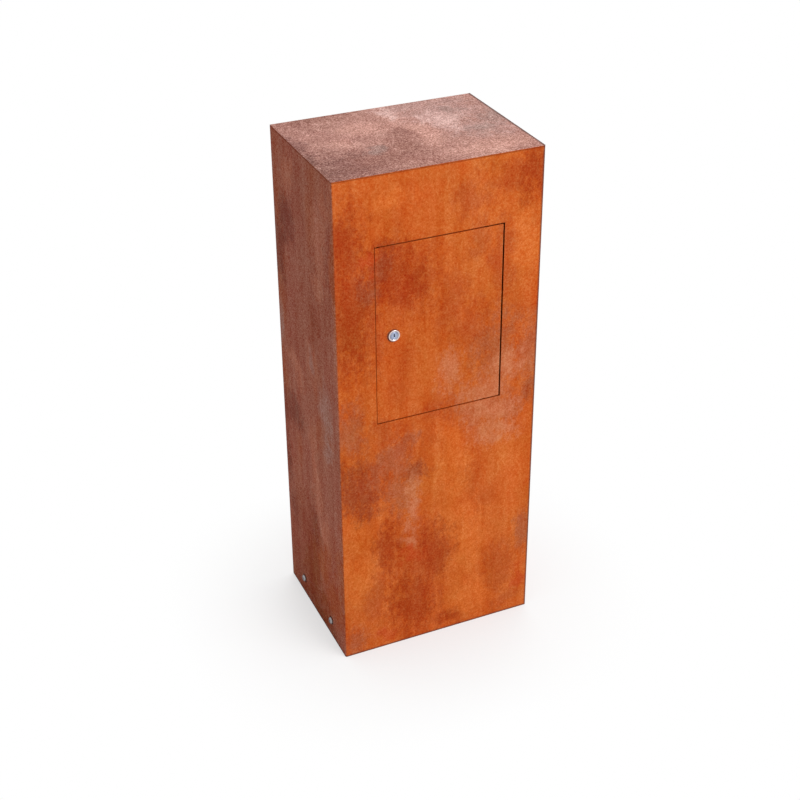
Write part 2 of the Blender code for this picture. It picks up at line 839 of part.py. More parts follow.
def build_lock_core():
    """What the key turns: the plug, the cam on its square drive, washer and screw."""
    face = LOCK_HEAD + SEAM - PLUG_SINK
    drive_start = FRONT - BARREL_END - RUNNING_CLEARANCE
    drive_end = FRONT - DRIVE_END
    profile = [
        (0, face),
        (PLUG_FACE_RADIUS - EDGE_BREAK, face),
        (PLUG_FACE_RADIUS, face - EDGE_BREAK),
        (PLUG_FACE_RADIUS, face - PLUG_FACE),
        (PLUG_RADIUS, face - PLUG_FACE),
        (PLUG_RADIUS, drive_end),
        (0, drive_end),
    ]
    plug = turned("lock_plug", profile, CHROME, (LOCK_X, FRONT, LOCK_Z), FACING_FRONT)
    keyway = block(
        "keyway",
        (
            LOCK_X - KEYWAY_WIDTH / 2,
            FRONT - face - CUT_OVERRUN,
            LOCK_Z - KEYWAY_HEIGHT / 2,
        ),
        (
            LOCK_X + KEYWAY_WIDTH / 2,
            FRONT - face + KEYWAY_DEPTH,
            LOCK_Z + KEYWAY_HEIGHT / 2,
        ),
    )
    cut(plug, cutter(keyway))
    drive_from = FRONT - drive_start
    for name, x, z in (
        ("left", -1, 0),
        ("right", 1, 0),
        ("below", 0, -1),
        ("above", 0, 1),
    ):
        reach = DRIVE_SIDE / 2 + CUT_OVERRUN / 2
        centre = Vector((LOCK_X + x * reach, drive_from + CUT_OVERRUN / 2, LOCK_Z + z * reach))
        half = Vector((CUT_OVERRUN / 2,) * 3)
        if x == 0:
            half.x += DRIVE_SIDE
        if z == 0:
            half.z += DRIVE_SIDE
        flank = block(f"drive_flank_{name}", centre - half, centre + half)
        cut(plug, cutter(flank))
    screw_bore = prism(
        "cam_screw_bore",
        CAM_SCREW_RADIUS + SEAM,
        2 * CAM_SCREW_LENGTH,
        SMALL_SIDES,
        (LOCK_X, DRIVE_END, LOCK_Z),
        FACING_FRONT,
    )
    cut(plug, cutter(screw_bore))

    reach = LOCK_EDGE_INSET + LOCK_SIDE_GAP + CAM_PAST_EDGE
    shoulder = math.asin(CAM_HALF_WIDTH / CAM_HUB_RADIUS)
    hub = arc(
        (0, 0),
        CAM_HUB_RADIUS,
        shoulder - math.pi / 2,
        math.tau - 2 * shoulder,
        SMALL_SIDES,
    )
    tip_z = CAM_CORNER - reach
    tip_x = CAM_HALF_WIDTH - CAM_CORNER
    tip = arc((-tip_x, tip_z), CAM_CORNER, math.pi, math.pi / 2, CORNER_STEPS)
    tip += arc((tip_x, tip_z), CAM_CORNER, -math.pi / 2, math.pi / 2, CORNER_STEPS)
    square = DRIVE_SIDE / 2 + SEAM
    cam = flat_plate(
        "lock_cam",
        [hub + tip, rectangle(-square, square, -square, square)],
        CAM_SHEET,
        ZINC,
        (LOCK_X, (CAM_FRONT + CAM_BACK) / 2, LOCK_Z),
        FACING_FRONT,
    )
    washer = ring(
        "cam_washer",
        CAM_SCREW_RADIUS + SEAM,
        CAM_WASHER_RADIUS,
        CAM_WASHER,
        ZINC,
        (LOCK_X, DRIVE_END + SEAM, LOCK_Z),
        FACING_REAR,
        SMALL_SIDES,
    )
    screw = headed_pin(
        "cam_screw",
        CAM_SCREW_RADIUS,
        CAM_SCREW_LENGTH,
        CAM_SCREW_HEAD_RADIUS,
        CAM_SCREW_HEAD,
        ZINC,
        (LOCK_X, DRIVE_END + SEAM + CAM_WASHER + SEAM, LOCK_Z),
        FACING_REAR,
        SMALL_SIDES,
    )
    return [plug, cam, washer, screw]


def flap_path():
    """The flap's inner skin, seen along its rod, from the lip up and over the rod.

    The blade leans: it leaves the knuckle on the inner side and meets the rear
    panel at its foot, so that its own weight shuts it.
    """
    foot = SLOT_HEIGHT + FLAP_HANG_ABOVE_SLOT + FLAP_FOOT_OVERLAP
    lean = math.asin(ROD_HOLE / math.hypot(KNUCKLE_RADIUS, foot))
    lean += math.atan(KNUCKLE_RADIUS / foot)
    blade_top = Vector((-math.cos(lean), -math.sin(lean))) * KNUCKLE_RADIUS
    length = (foot - FLAP_SHEET + blade_top.y) / math.cos(lean)
    blade_foot = blade_top + Vector((math.sin(lean), -math.cos(lean))) * length
    lip_end = blade_foot - Vector((FLAP_LIP, 0))
    knuckle = arc(
        (0, 0), KNUCKLE_RADIUS, math.pi + lean, -KNUCKLE_TURN, KNUCKLE_STEPS
    )
    return [tuple(lip_end), tuple(blade_foot)] + knuckle


def build_flap():
    """The flap behind the slot, rolled round its rod, and the ears that hold the rod."""
    folded_sheet(
        "letter_flap",
        flap_path(),
        (-FLAP_SIDE, FLAP_SIDE),
        FLAP_SHEET,
        FLAP_BEND_RADIUS,
        DARK_RUST,
        place=(0, FLAP_Y, FLAP_Z),
        turn=ALONG_X,
        on_right=True,
        corner_radius=FLAP_CORNER,
        rounded_ends=(0,),
    )
    for side, sign in (("left", -1), ("right", 1)):
        ear = folded_sheet(
            f"flap_ear_{side}",
            [
                (sign * (EAR_OUTSIDE + EAR_FOOT), BEFORE_REAR),
                (sign * EAR_INSIDE, BEFORE_REAR),
                (sign * EAR_INSIDE, BEFORE_REAR - EAR_DEPTH),
            ],
            (FLAP_Z - EAR_BELOW_ROD, FLAP_Z + EAR_ABOVE_ROD),
            FLAP_SHEET,
            EAR_BEND_RADIUS,
            DARK_RUST,
            on_right=sign < 0,
            corner_radius=EAR_CORNER,
        )
        root = sign * EAR_OUTSIDE
        tip = sign * (EAR_OUTSIDE + EAR_FOOT + CUT_OVERRUN)
        notch = block(
            f"ear_notch_{side}",
            (min(root, tip), BEFORE_REAR - EAR_DEPTH, FLAP_Z - CUT_OVERRUN),
            (max(root, tip), REAR, FLAP_Z + EAR_FOOT_ABOVE_ROD),
        )
        cut(ear, cutter(notch))
        bore = prism(
            f"ear_bore_{side}",
            ROD_HOLE,
            CUT_OVERRUN,
            SMALL_SIDES,
            (sign * EAR_INSIDE, FLAP_Y, FLAP_Z),
            FACING_RIGHT,
        )
        cut(ear, cutter(bore))
    rod_end = EAR_OUTSIDE + SEAM
    headed_pin(
        "flap_rod",
        ROD_RADIUS,
        2 * rod_end + CLIP + SEAM + ROD_TAIL,
        ROD_HEAD_RADIUS,
        ROD_HEAD,
        STAINLESS,
        (rod_end, FLAP_Y, FLAP_Z),
        FACING_RIGHT,
        SMALL_SIDES,
    )
    ring(
        "rod_clip",
        ROD_HOLE,
        CLIP_RADIUS,
        CLIP,
        STAINLESS,
        (-rod_end, FLAP_Y, FLAP_Z),
        FACING_LEFT,
        SMALL_SIDES,
    )


def pivot(name, place, children):
    """An empty on a turning axis, which carries what turns about it."""
    empty = bpy.data.objects.new(name, None)
    empty.location = place
    bpy.data.collections["rusty_mailbox"].objects.link(empty)
    bpy.context.view_layer.update()
    for child in children:
        child.parent = empty
        child.matrix_parent_inverse = empty.matrix_world.inverted()
    return empty


def main():
    clear_scene()
    new_collection("rusty_mailbox")
    new_collection("cutters")
    build_column()
    build_foot()
    build_door_frame()
    lock = pivot("lock_pivot", (LOCK_X, CAM_FRONT, LOCK_Z), build_lock_core())
    door = build_door() + build_lock_case() + [lock]
    pivot("door_pivot", (PIVOT_X, PIVOT_Y, LOCK_Z), door)
    build_flap()


if __name__ == "__main__":
    main()
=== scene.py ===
"""The looks of a pillar mailbox of weathering steel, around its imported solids.

The folded sheets, the cam lock and the small turned pieces are modelled finely
here, every other solid keeps its shape, and all of them get their finish. The
rust is painted by nodes in the object's own coordinates, so that its stains run
on from the column to the door and stay on the pieces that swing.
"""

import math

import bmesh
import bpy
from bpy.props import FloatProperty, FloatVectorProperty, PointerProperty
from mathutils import Matrix, Vector


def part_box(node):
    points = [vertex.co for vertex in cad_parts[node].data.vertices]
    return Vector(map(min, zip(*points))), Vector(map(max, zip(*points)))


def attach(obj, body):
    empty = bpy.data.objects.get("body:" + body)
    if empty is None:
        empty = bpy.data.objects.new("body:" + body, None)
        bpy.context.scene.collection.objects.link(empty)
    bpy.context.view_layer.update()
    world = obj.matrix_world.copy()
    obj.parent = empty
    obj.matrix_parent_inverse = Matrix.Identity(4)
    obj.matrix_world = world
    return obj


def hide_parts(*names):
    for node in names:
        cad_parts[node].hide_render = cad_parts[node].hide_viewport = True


bl_info = {
    "name": "Rusty Mailbox",
    "version": (1, 0, 0),
    "blender": (4, 5, 0),
    "location": "View3D > Sidebar > Mailbox",
    "description": "Dresses a pillar mailbox of weathering steel",
    "category": "Object",
}

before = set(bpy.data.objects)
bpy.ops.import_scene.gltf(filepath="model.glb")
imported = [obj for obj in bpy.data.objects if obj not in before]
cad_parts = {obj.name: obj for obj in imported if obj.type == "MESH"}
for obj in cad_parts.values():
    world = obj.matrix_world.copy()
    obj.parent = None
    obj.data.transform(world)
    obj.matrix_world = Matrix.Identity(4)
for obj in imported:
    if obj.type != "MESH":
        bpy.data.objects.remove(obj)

COLUMN_LOW, COLUMN_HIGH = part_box("column_wrap")
REAR_LOW, REAR_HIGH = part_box("rear_panel")
TOP_LOW, TOP_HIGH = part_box("top_plate")
LEAF_LOW, LEAF_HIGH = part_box("door_leaf")
LOCK_LOW, LOCK_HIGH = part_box("lock_body")
PLUG_LOW, PLUG_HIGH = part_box("lock_plug")

SIDE = COLUMN_HIGH.x
FRONT = COLUMN_LOW.y
REAR = COLUMN_HIGH.y
TOP = TOP_HIGH.z
LOCK_AXIS = ((LOCK_LOW.x + LOCK_HIGH.x) / 2, (LOCK_LOW.z + LOCK_HIGH.z) / 2)

# Edges sharper than this stay sharp in a smooth mesh, and in a sheet wear round.
SHARP = math.radians(35)
WORN = math.radians(50)
ROUND_SIDES = 96
SMALL_SIDES = 48
HEXAGON = 6
BEND_STEPS = 10
EDGE_STEPS = 2
CORNER_STEPS = 8

# Clearance between pieces that turn in each other, or are put through a hole
CLEARANCE = 0.0003
PLUG_FACE_THICKNESS = 0.003
# Depth of a thread, as a share of its pitch
THREAD_DEPTH = 0.6

FACING_FRONT = Matrix.Rotation(math.pi / 2, 4, "X")
FACING_LEFT = Matrix.Rotation(-math.pi / 2, 4, "Y")
FACING_RIGHT = Matrix.Rotation(math.pi / 2, 4, "Y")

# Where the stains sit on each face, in millimetres: the middle across and up, then
# half the width and height. Front: across is X, up is Z. Side: Y, Z. Top: X, Y.
FRONT_STAINS = {
    "bright": [
        (-100, 955, 80, 45), (175, 830, 50, 100), (30, 410, 60, 130),
        (-170, 180, 60, 100), (60, 215, 70, 130), (80, 70, 70, 100),
    ],
    "brown": [
        (-175, 740, 110, 240), (-60, 800, 120, 120), (20, 740, 60, 110),
        (122, 800, 35, 150), (65, 675, 65, 85), (150, 970, 120, 50), (60, 930, 60, 50),
        (75, 855, 36, 50), (-10, 525, 50, 60), (-110, 420, 130, 110),
        (-105, 500, 60, 60), (-50, 395, 60, 50), (-130, 130, 40, 110),
        (-125, 700, 40, 80), (-50, 200, 110, 180), (132, 120, 50, 90),
        (150, 30, 60, 40),
    ],
    "red": [
        (-180, 895, 75, 120), (-175, 740, 75, 160), (-105, 825, 80, 95),
        (-55, 800, 40, 60), (188, 955, 45, 80), (-105, 240, 40, 90),
        (-10, 200, 60, 110), (-50, 80, 80, 120), (20, 20, 50, 40),
    ],
    "scorched": [
        (-115, 840, 35, 50), (-140, 790, 40, 60), (-165, 390, 90, 100),
        (-50, 395, 50, 45), (190, 515, 25, 45),
    ],
    "mauve": [
        (120, 610, 80, 140), (90, 520, 100, 85), (-65, 472, 34, 25), (145, 500, 60, 50),
        (190, 600, 45, 130), (-180, 520, 50, 70), (-80, 350, 50, 70),
        (-100, 440, 65, 60), (-185, 30, 40, 50), (190, 190, 35, 80),
    ],
    "pale": [
        (80, 540, 60, 60), (110, 495, 90, 45), (120, 445, 80, 50), (145, 590, 60, 60),
        (20, 600, 40, 70), (-55, 320, 26, 100), (-65, 230, 25, 35),
    ],
    "flame": [
        (-137, 855, 30, 28), (178, 76, 35, 55), (-120, 30, 40, 25), (-65, 206, 24, 20),
    ],
}
SIDE_STAINS = {
    "pale": [
        (70, 950, 50, 70), (-80, 870, 60, 150), (-70, 780, 50, 60), (-15, 610, 40, 80),
        (60, 550, 60, 50), (-15, 350, 35, 180), (-55, 230, 40, 100),
        (-110, 950, 50, 60), (-150, 800, 20, 350),
    ],
    "scorched": [
        (90, 845, 65, 65), (135, 785, 60, 110), (112, 800, 50, 60), (150, 760, 40, 80),
        (85, 430, 80, 70), (135, 420, 40, 90), (0, 210, 45, 55), (110, 190, 45, 80),
        (135, 300, 35, 90),
    ],
    "red": [
        (50, 190, 90, 110), (-30, 680, 45, 65), (110, 80, 60, 130), (60, 30, 80, 60),
    ],
    "charred": [
        (20, 80, 80, 110), (0, 130, 50, 130), (-40, 50, 70, 55), (0, 10, 180, 25),
    ],
    "grey": [
        (-82, 535, 50, 110), (-95, 455, 50, 50), (-15, 610, 22, 45), (142, 600, 20, 80),
    ],
    "bright": [
        (-155, 150, 50, 200), (-155, 840, 26, 200), (-100, 100, 85, 100),
        (-50, 160, 55, 80),
    ],
}
TOP_STAINS = {
    "scorched": [
        (-150, -95, 130, 110), (-205, 0, 35, 200), (-200, -150, 100, 80),
    ],
    "brown": [
        (5, 35, 30, 100), (-60, -80, 120, 80), (-20, -50, 50, 80), (-130, 137, 120, 36),
        (20, -125, 50, 30),
    ],
    "pink": [
        (-55, 60, 70, 55), (-120, 5, 36, 32), (120, -115, 140, 45), (35, -10, 35, 120),
        (20, 90, 50, 80),
    ],
    "haze": [
        (110, 80, 120, 80), (140, -20, 100, 80), (60, 130, 100, 40), (140, 125, 60, 30),
    ],
    "pale": [
        (88, 35, 55, 70), (22, 105, 35, 55),
    ],
    "grey": [
        (185, 25, 45, 50), (145, -20, 50, 30), (130, 85, 30, 25), (-85, -45, 35, 30),
    ],
}

# Metals: whose colour each has, its roughness, how many clouds and grains lie in a
# metre, and the grain's depth
METALS = {
    "bright_chrome": ("chrome", 0.20, 260.0, 2400.0, 0.00002),
    "satin_chrome": ("plug", 0.32, 300.0, 2600.0, 0.00003),
    "dull_stainless": ("stainless", 0.30, 320.0, 3000.0, 0.00003),
    "dull_zinc": ("zinc", 0.48, 70.0, 900.0, 0.00010),
}
# Every finish made so far, by name
FINISHES = {}

# How far the stains are moved on the rear and on the right side, so that these
# don't repeat the front and the left side
REAR_SHIFT = (0.060, 0.0, 0.100)
RIGHT_SHIFT = (0.0, 0.050, -0.120)
# How far noise drags the stains' outlines about, how deep it tears them, and how
# much of the ground a stain covers
DRAG = (0.080, 0.080, 0.130)
TEAR = 2.0
STAIN_COVER = 0.85
# Strengths of the grain's parts, and how much more of them the top and sides show. The
# top's extra grain is partly painted glints on its scale
MOTTLE, RUNS, GRAINS, SPECKS = 0.17, 0.12, 0.31, -0.06
TOP_COARSE, SIDE_COARSE = 1.3, 0.5
TOP_FINE, SIDE_FINE = 1.9, 1.1
# How much the grain changes each channel, and what the top adds to that, so that the
# top's grain is even in all channels, as painted glints
GRAIN_TINT = (0.80, 1.38, 1.46)
TOP_GRAIN_TINT = (0.45, -0.13, -0.21)
# The film's slow change of hue, from greenish to reddish
FILM_TINT = (-0.060, 0.070, 0.020)
# What the top and the sides take off the film's strength, as a share
TOP_FILM, SIDE_FILM = -0.6, -0.4
# Display gamma, in which grain looks even
EYE = 2.2

# Slopes between which a mask of the outer sheets goes from 0 to 1
TOP_SLOPE = (0.6, 0.9)
SIDE_SLOPE = (0.25, 0.95)
FOLD_SLOPE = (1.0, 0.97)
EDGE_SLOPE = (0.7, 0.3)
INNER_SLOPE = (-0.05, -0.10)

# Painted shade: how far it reaches, and how much of the rust it covers. Round the lock
# it is a painted shadow, moved to the lock's left
BASE_REACH, BASE_SHADE = 0.006, 0.8
RIM_REACH, RIM_SHADE = 0.006, 0.85
FOLD_START, FOLD_END, FOLD_SHADE = 0.0065, 0.0015, 0.8
LOCK_REACH, LOCK_SHADOW_SHIFT, LOCK_SHADE = 0.0030, 0.0012, 0.7
SCREW_REACH, SCREW_CORE, SCREW_SHADE = 0.0120, 0.0070, 0.8
SEAM_REACH, SEAM_DIRT = 0.0020, 0.5

# Lamps, and the floor's colour where it is lit. Its pink tint shows in the floor's
# shadow as painted light bounced off the rust
LAMP_DISTANCE = 6.0
LAMP_SIZE = 3.9
LAMP_AIM = (0.0, 0.0, 0.5)
KEY_DIRECTION = (0.42, -0.64, 0.66)
BACK_DIRECTION = (0.36, 0.80, 0.48)
FLOOR_SIZE = 20.0
FLOOR_COLOUR = (0.84, 0.76, 0.755, 1.0)


def number(name, description, default, **kind):
    """A number among the settings."""
    return FloatProperty(name=name, description=description, default=default, **kind)


def in_metres(name, description, default):
    """A length among the settings."""
    return number(name, description, default, unit="LENGTH")


def in_degrees(name, description, default):
    """An angle among the settings."""
    return number(name, description, math.radians(default), subtype="ANGLE")


def in_colour(name, description, default):
    """A colour among the settings."""
    return FloatVectorProperty(
        name=name, description=description, default=default, subtype="COLOR"
    )


class SheetSettings(bpy.types.PropertyGroup):
    """Sizes of the folded sheets."""

    thickness: in_metres("Thickness", "Thickness of the steel sheet", 0.002)
    bend_radius: in_metres("Bend radius", "Outer radius of each fold", 0.003)
    edge_round: in_metres("Edge rounding", "How far a cut edge is worn round", 0.0002)
    door_gap: in_metres("Door gap", "Gap above and below the door", 0.0025)
    lock_gap: in_metres(
        "Lock side gap", "Gap between the door and its lock side", 0.001
    )
    hinge_gap: in_metres(
        "Hinge side gap", "Gap between the door and its hinge side", 0.003
    )
    slot_inset: in_metres(
        "Slot inset", "From the column's side to the end of the letter slot", 0.035
    )
    slot_drop: in_metres(
        "Slot drop", "From the top to the upper edge of the letter slot", 0.0835
    )
    slot_height: in_metres("Slot height", "Height of the letter slot", 0.035)
    hole_radius: in_metres(
        "Screw hole radius", "Radius of the four holes for the foot screws", 0.0045
    )


class FrontSettings(bpy.types.PropertyGroup):
    """Colours of the rust on the front and rear."""

    ground: in_colour("Ground", "The rust's main orange", (0.6094, 0.1255, 0.0179))
    bright: in_colour("Bright", "Fresh orange rust", (0.7215, 0.1698, 0.0290))
    brown: in_colour("Brown", "Duller, browner rust", (0.5021, 0.0897, 0.0152))
    red: in_colour("Red", "Red-brown stains", (0.4075, 0.0560, 0.0064))
    flame: in_colour("Flame", "Vivid red-orange smears", (0.5557, 0.0743, 0.0120))
    scorched: in_colour(
        "Scorched", "Dark purple-brown stains", (0.3608, 0.0695, 0.0202)
    )
    mauve: in_colour("Mauve", "Dull pinkish-brown stains", (0.4582, 0.1177, 0.0423))
    pale: in_colour("Pale", "Washed-out run marks", (0.6240, 0.1978, 0.0828))


class SideSettings(bpy.types.PropertyGroup):
    """Colours of the rust on the sides, with a painted sheen in their greyish mauve."""

    # The sides' greyish mauve is a painted sheen over the same rust as the front
    ground: in_colour("Ground", "The sides' dull red-brown", (0.5453, 0.1805, 0.1104))
    pale: in_colour("Pale", "Pale pink run marks", (0.7008, 0.2546, 0.1509))
    scorched: in_colour("Scorched", "Dark brown-red patches", (0.3264, 0.0874, 0.0506))
    red: in_colour("Red", "Red-brown patches", (0.4320, 0.1064, 0.0515))
    charred: in_colour(
        "Charred", "Darkest red-brown, low on the sides", (0.3504, 0.0589, 0.0046)
    )
    grey: in_colour("Grey", "Greyish bloom", (0.5856, 0.2850, 0.2208))
    bright: in_colour("Bright", "Orange-brown patches", (0.5280, 0.1187, 0.0322))


class TopSettings(bpy.types.PropertyGroup):
    """Colours of the rust on the top, paler and pinker with dust and a painted sheen.
    """

    # The top's pale pinks are dust together with a painted sheen, as light glancing off
    # it would give
    ground: in_colour("Ground", "The top's dusty pink", (0.5200, 0.2515, 0.2007))
    scorched: in_colour("Scorched", "Dark mauve patches", (0.2620, 0.1053, 0.0830))
    brown: in_colour(
        "Brown", "Brown patches with little dust", (0.3780, 0.1589, 0.1206)
    )
    pink: in_colour("Pink", "Pinkish dust", (0.6900, 0.3510, 0.2798))
    haze: in_colour("Haze", "Thin greyish dust", (0.5550, 0.3169, 0.2779))
    pale: in_colour("Pale", "Thick pale dust", (0.8500, 0.5363, 0.4777))
    grey: in_colour("Grey", "Greyish patches", (0.4200, 0.2515, 0.2162))


class RustSettings(bpy.types.PropertyGroup):
    """Grain of the rust, its colour inside and on the edges, and its painted shade."""

    inside: in_colour(
        "Inside", "Dark rust on the inside of the sheets", (0.300, 0.072, 0.0200)
    )
    inside_red: in_colour(
        "Inside red", "Fresher rust on the pieces inside", (0.430, 0.088, 0.0180)
    )
    edge: in_colour(
        "Edge", "Dark rust along seams and cut edges", (0.300, 0.046, 0.0080)
    )
    cut: in_colour(
        "Cut", "Fresh rust on the cut edges round the door", (0.450, 0.072, 0.0080)
    )
    # This colour is painted shade along the base, the right folds and rim, and round
    # the screws and lock
    painted_shade_colour: in_colour(
        "Soil",
        "Dark dirt along the base and right folds, round screws and lock",
        (0.090, 0.042, 0.0340),
    )
    grain: in_metres("Grain", "Size of the rust's finest grain", 0.0030)
    scale_depth: in_metres("Scale depth", "Height of the rust's rough scale", 0.0005)


class MetalSettings(bpy.types.PropertyGroup):
    """Colours of the small metal and plastic pieces."""

    # The chrome's pinkish tint is a painted reflection of the rust round it
    chrome: in_colour("Chrome", "Plated lock head and plug", (0.740, 0.640, 0.620))
    plug: in_colour("Plug", "Duller plating on the lock's plug", (0.420, 0.470, 0.620))
    # The stainless steel is darkened to stand in for the shade on the screw heads:
    # painted shade
    stainless: in_colour(
        "Stainless steel", "Foot screws, hinge pins and flap rod", (0.340, 0.325, 0.330)
    )
    zinc: in_colour(
        "Zinc", "Galvanised foot plate, nuts and washers", (0.430, 0.440, 0.450)
    )
    nylon: in_colour("Nylon", "Thrust washers", (0.720, 0.710, 0.660))


class LockSettings(bpy.types.PropertyGroup):
    """Sizes of the cam lock."""

    head_height: in_metres(
        "Head height", "How far the lock's head stands off the door", 0.0022
    )
    face_radius: in_metres(
        "Plug face radius", "Radius of the plug's face in the head", 0.0078
    )
    plug_radius: in_metres("Plug radius", "Radius of the plug behind its face", 0.0065)
    barrel_radius: in_metres("Barrel radius", "Radius over the barrel's thread", 0.0094)
    barrel_flat: in_metres(
        "Barrel flat", "From the axis to each flat on the barrel", 0.008
    )
    barrel_pitch: in_metres("Barrel pitch", "Pitch of the barrel's thread", 0.001)
    keyway_width: in_metres("Keyway width", "Width of the key's slot", 0.0018)
    keyway_height: in_metres("Keyway height", "Height of the key's slot", 0.0075)


class FastenerSettings(bpy.types.PropertyGroup):
    """Sizes of the foot screws."""

    head_height: in_metres("Head height", "Height of a foot screw's domed head", 0.0044)
    socket: in_metres("Socket across flats", "Width of the hexagon socket", 0.005)
    socket_depth: in_metres("Socket depth", "Depth of the hexagon socket", 0.0026)
    thread_radius: in_metres(
        "Thread radius", "Radius over a foot screw's thread", 0.004
    )
    pitch: in_metres("Pitch", "Pitch of a foot screw's thread", 0.00125)


class StageSettings(bpy.types.PropertyGroup):
    """Camera, lamps and floor."""

    azimuth: in_degrees(
        "Azimuth", "Camera's turn to the left of the door's axis", -23.7219
    )
    elevation: in_degrees("Elevation", "Camera's angle above the ground", 29.7352)
    roll: in_degrees("Roll", "Camera's turn about its own axis", -0.4329)
    distance: in_metres("Distance", "From the camera to the point it aims at", 2.8181)
    aim: FloatVectorProperty(
        name="Aim",
        description="The point that the camera aims at",
        subtype="TRANSLATION",
        default=(-0.0135, 0.0, 0.5400),
    )
    lens: number("Focal length", "Camera's focal length in millimetres", 66.2348)
    shift: number(
        "Vertical shift", "Camera's shift, as a share of the picture", -0.0425
    )
    key: number(
        "Key lamp", "Power of the soft lamp at the front right", 290.0, unit="POWER"
    )
    back: number(
        "Back lamp", "Power of the soft lamp behind the mailbox", 135.0, unit="POWER"
    )
    sky: number("Sky", "Strength of the even light from all round", 0.25)
    # The floor's painted contact shade reaches this far
    painted_shade_reach: in_metres(
        "Shadow reach", "How far from the mailbox its shadow shows on the floor", 0.30
    )
    least_white: number(
        "Least white",
        "How white the floor's picture stays in the deepest shadow",
        0.3, subtype="FACTOR",
    )


class MailboxSettings(bpy.types.PropertyGroup):
    """All the settings of the mailbox."""

    sheets: PointerProperty(type=SheetSettings)
    front: PointerProperty(type=FrontSettings)
    side: PointerProperty(type=SideSettings)
    top: PointerProperty(type=TopSettings)
    rust: PointerProperty(type=RustSettings)
    metal: PointerProperty(type=MetalSettings)
    lock: PointerProperty(type=LockSettings)
    fasteners: PointerProperty(type=FastenerSettings)
    stage: PointerProperty(type=StageSettings)


class Nodes:
    """The nodes of a material or of the world, wired as they are added."""

    def __init__(self, owner):
        owner.use_nodes = True
        self.tree = owner.node_tree

    def feed(self, socket, value):
        """Wires another node's output to a socket, or sets the socket to a value."""
        if isinstance(value, bpy.types.NodeSocket):
            self.tree.links.new(value, socket)
        else:
            socket.default_value = value

    def add(self, kind, inputs=None, **settings):
        """Adds a node. Its inputs are values, or other nodes' outputs."""
        node = self.tree.nodes.new(kind)
        for name, value in settings.items():
            setattr(node, name, value)
        for name, value in (inputs or {}).items():
            self.feed(node.inputs[name], value)
        return node

    def sum(self, operation, *values):
        """One step of arithmetic on numbers."""
        node = self.add("ShaderNodeMath", operation=operation)
        for socket, value in zip(node.inputs, values):
            self.feed(socket, value)
        return node.outputs[0]

    def product(self, total, *others):
        """Numbers multiplied with each other."""
        for other in others:
            total = self.sum("MULTIPLY", total, other)
        return total

    def highest(self, total, *others):
        """The highest of several numbers."""
        for other in others:
            total = self.sum("MAXIMUM", total, other)
        return total


class Finish(Nodes):
    """A material painted in the object's own coordinates."""

    def __init__(self, name):
        self.material = bpy.data.materials.new(name)
        super().__init__(self.material)
        self.shader = self.tree.nodes["Principled BSDF"]
        coordinates = self.add("ShaderNodeTexCoord").outputs
        self.place = coordinates["Object"]
        self.normal = coordinates["Normal"]

    def noise(self, place, scale, detail, roughness=0.5, output="Fac"):
        """Smooth noise from 0 to 1. The scale is in features a metre."""
        inputs = {
            "Vector": place,
            "Scale": scale,
            "Detail": detail,
            "Roughness": roughness,
        }
        return self.add("ShaderNodeTexNoise", inputs).outputs[output]

    def swing(self, noise, strength):
        """A noise from 0 to 1 made into one that swings about 0."""
        return self.product(self.sum("SUBTRACT", noise, 0.5), strength)

    def move(self, operation, *values):
        """One step of arithmetic on vectors."""
        node = self.add("ShaderNodeVectorMath", operation=operation)
        for socket, value in zip(node.inputs, values):
            self.feed(socket, value)
        is_number = operation in {"DOT_PRODUCT", "LENGTH"}
        return node.outputs["Value" if is_number else "Vector"]

    def times(self, vector, factor):
        """A vector made longer or shorter by one number."""
        inputs = {"Vector": vector, "Scale": factor}
        node = self.add("ShaderNodeVectorMath", inputs, operation="SCALE")
        return node.outputs["Vector"]

    def stretch(self, place, factors):
        """The place scaled along each axis."""
        return self.move("MULTIPLY", place, factors)

    def drawn_out(self, share):
        """The place, in which noise is drawn out upright."""
        return self.stretch(self.place, (1.0, 1.0, share))

    def parts(self, vector):
        """A vector's X, Y and Z."""
        return self.add("ShaderNodeSeparateXYZ", {"Vector": vector}).outputs

    def fade(self, value, start, end, low=0.0, high=1.0):
        """Goes smoothly from low to high as the value goes from start to end."""
        inputs = {
            "Value": value,
            "From Min": start,
            "From Max": end,
            "To Min": low,
            "To Max": high,
        }
        node = self.add("ShaderNodeMapRange", inputs, interpolation_type="SMOOTHSTEP")
        return node.outputs["Result"]

    def mix(self, factor, first, second, mode="MIX"):
        """One colour over another."""
        node = self.add("ShaderNodeMix", data_type="RGBA", blend_type=mode)
        self.feed(node.inputs["Factor"], factor)
        # The node has sockets named A and B for each kind. These are the colours.
        for socket, colour in zip(node.inputs[6:8], (first, second)):
            is_output = isinstance(colour, bpy.types.NodeSocket)
            self.feed(socket, colour if is_output else (*colour, 1.0))
        return node.outputs[2]

    def grained(self, colour, grain):
        """Adds grain that looks as strong on dark colours as on light ones."""
        inputs = {"Color": colour, "Gamma": 1 / EYE}
        seen = self.add("ShaderNodeGamma", inputs).outputs["Color"]
        seen = self.move("MAXIMUM", self.move("ADD", seen, grain), (0.0,) * 3)
        inputs = {"Color": seen, "Gamma": EYE}
        return self.add("ShaderNodeGamma", inputs).outputs["Color"]

    def end(self, colour, roughness, height, distance, metallic=0.0):
        """Wires the last colour, roughness and height to the shader."""
        inputs = {"Height": height, "Distance": distance, "Strength": 1.0}
        bump = self.add("ShaderNodeBump", inputs).outputs["Normal"]
        names = ("Base Color", "Roughness", "Metallic", "Normal")
        for name, value in zip(names, (colour, roughness, metallic, bump)):
            self.feed(self.shader.inputs[name], value)
        return self.material


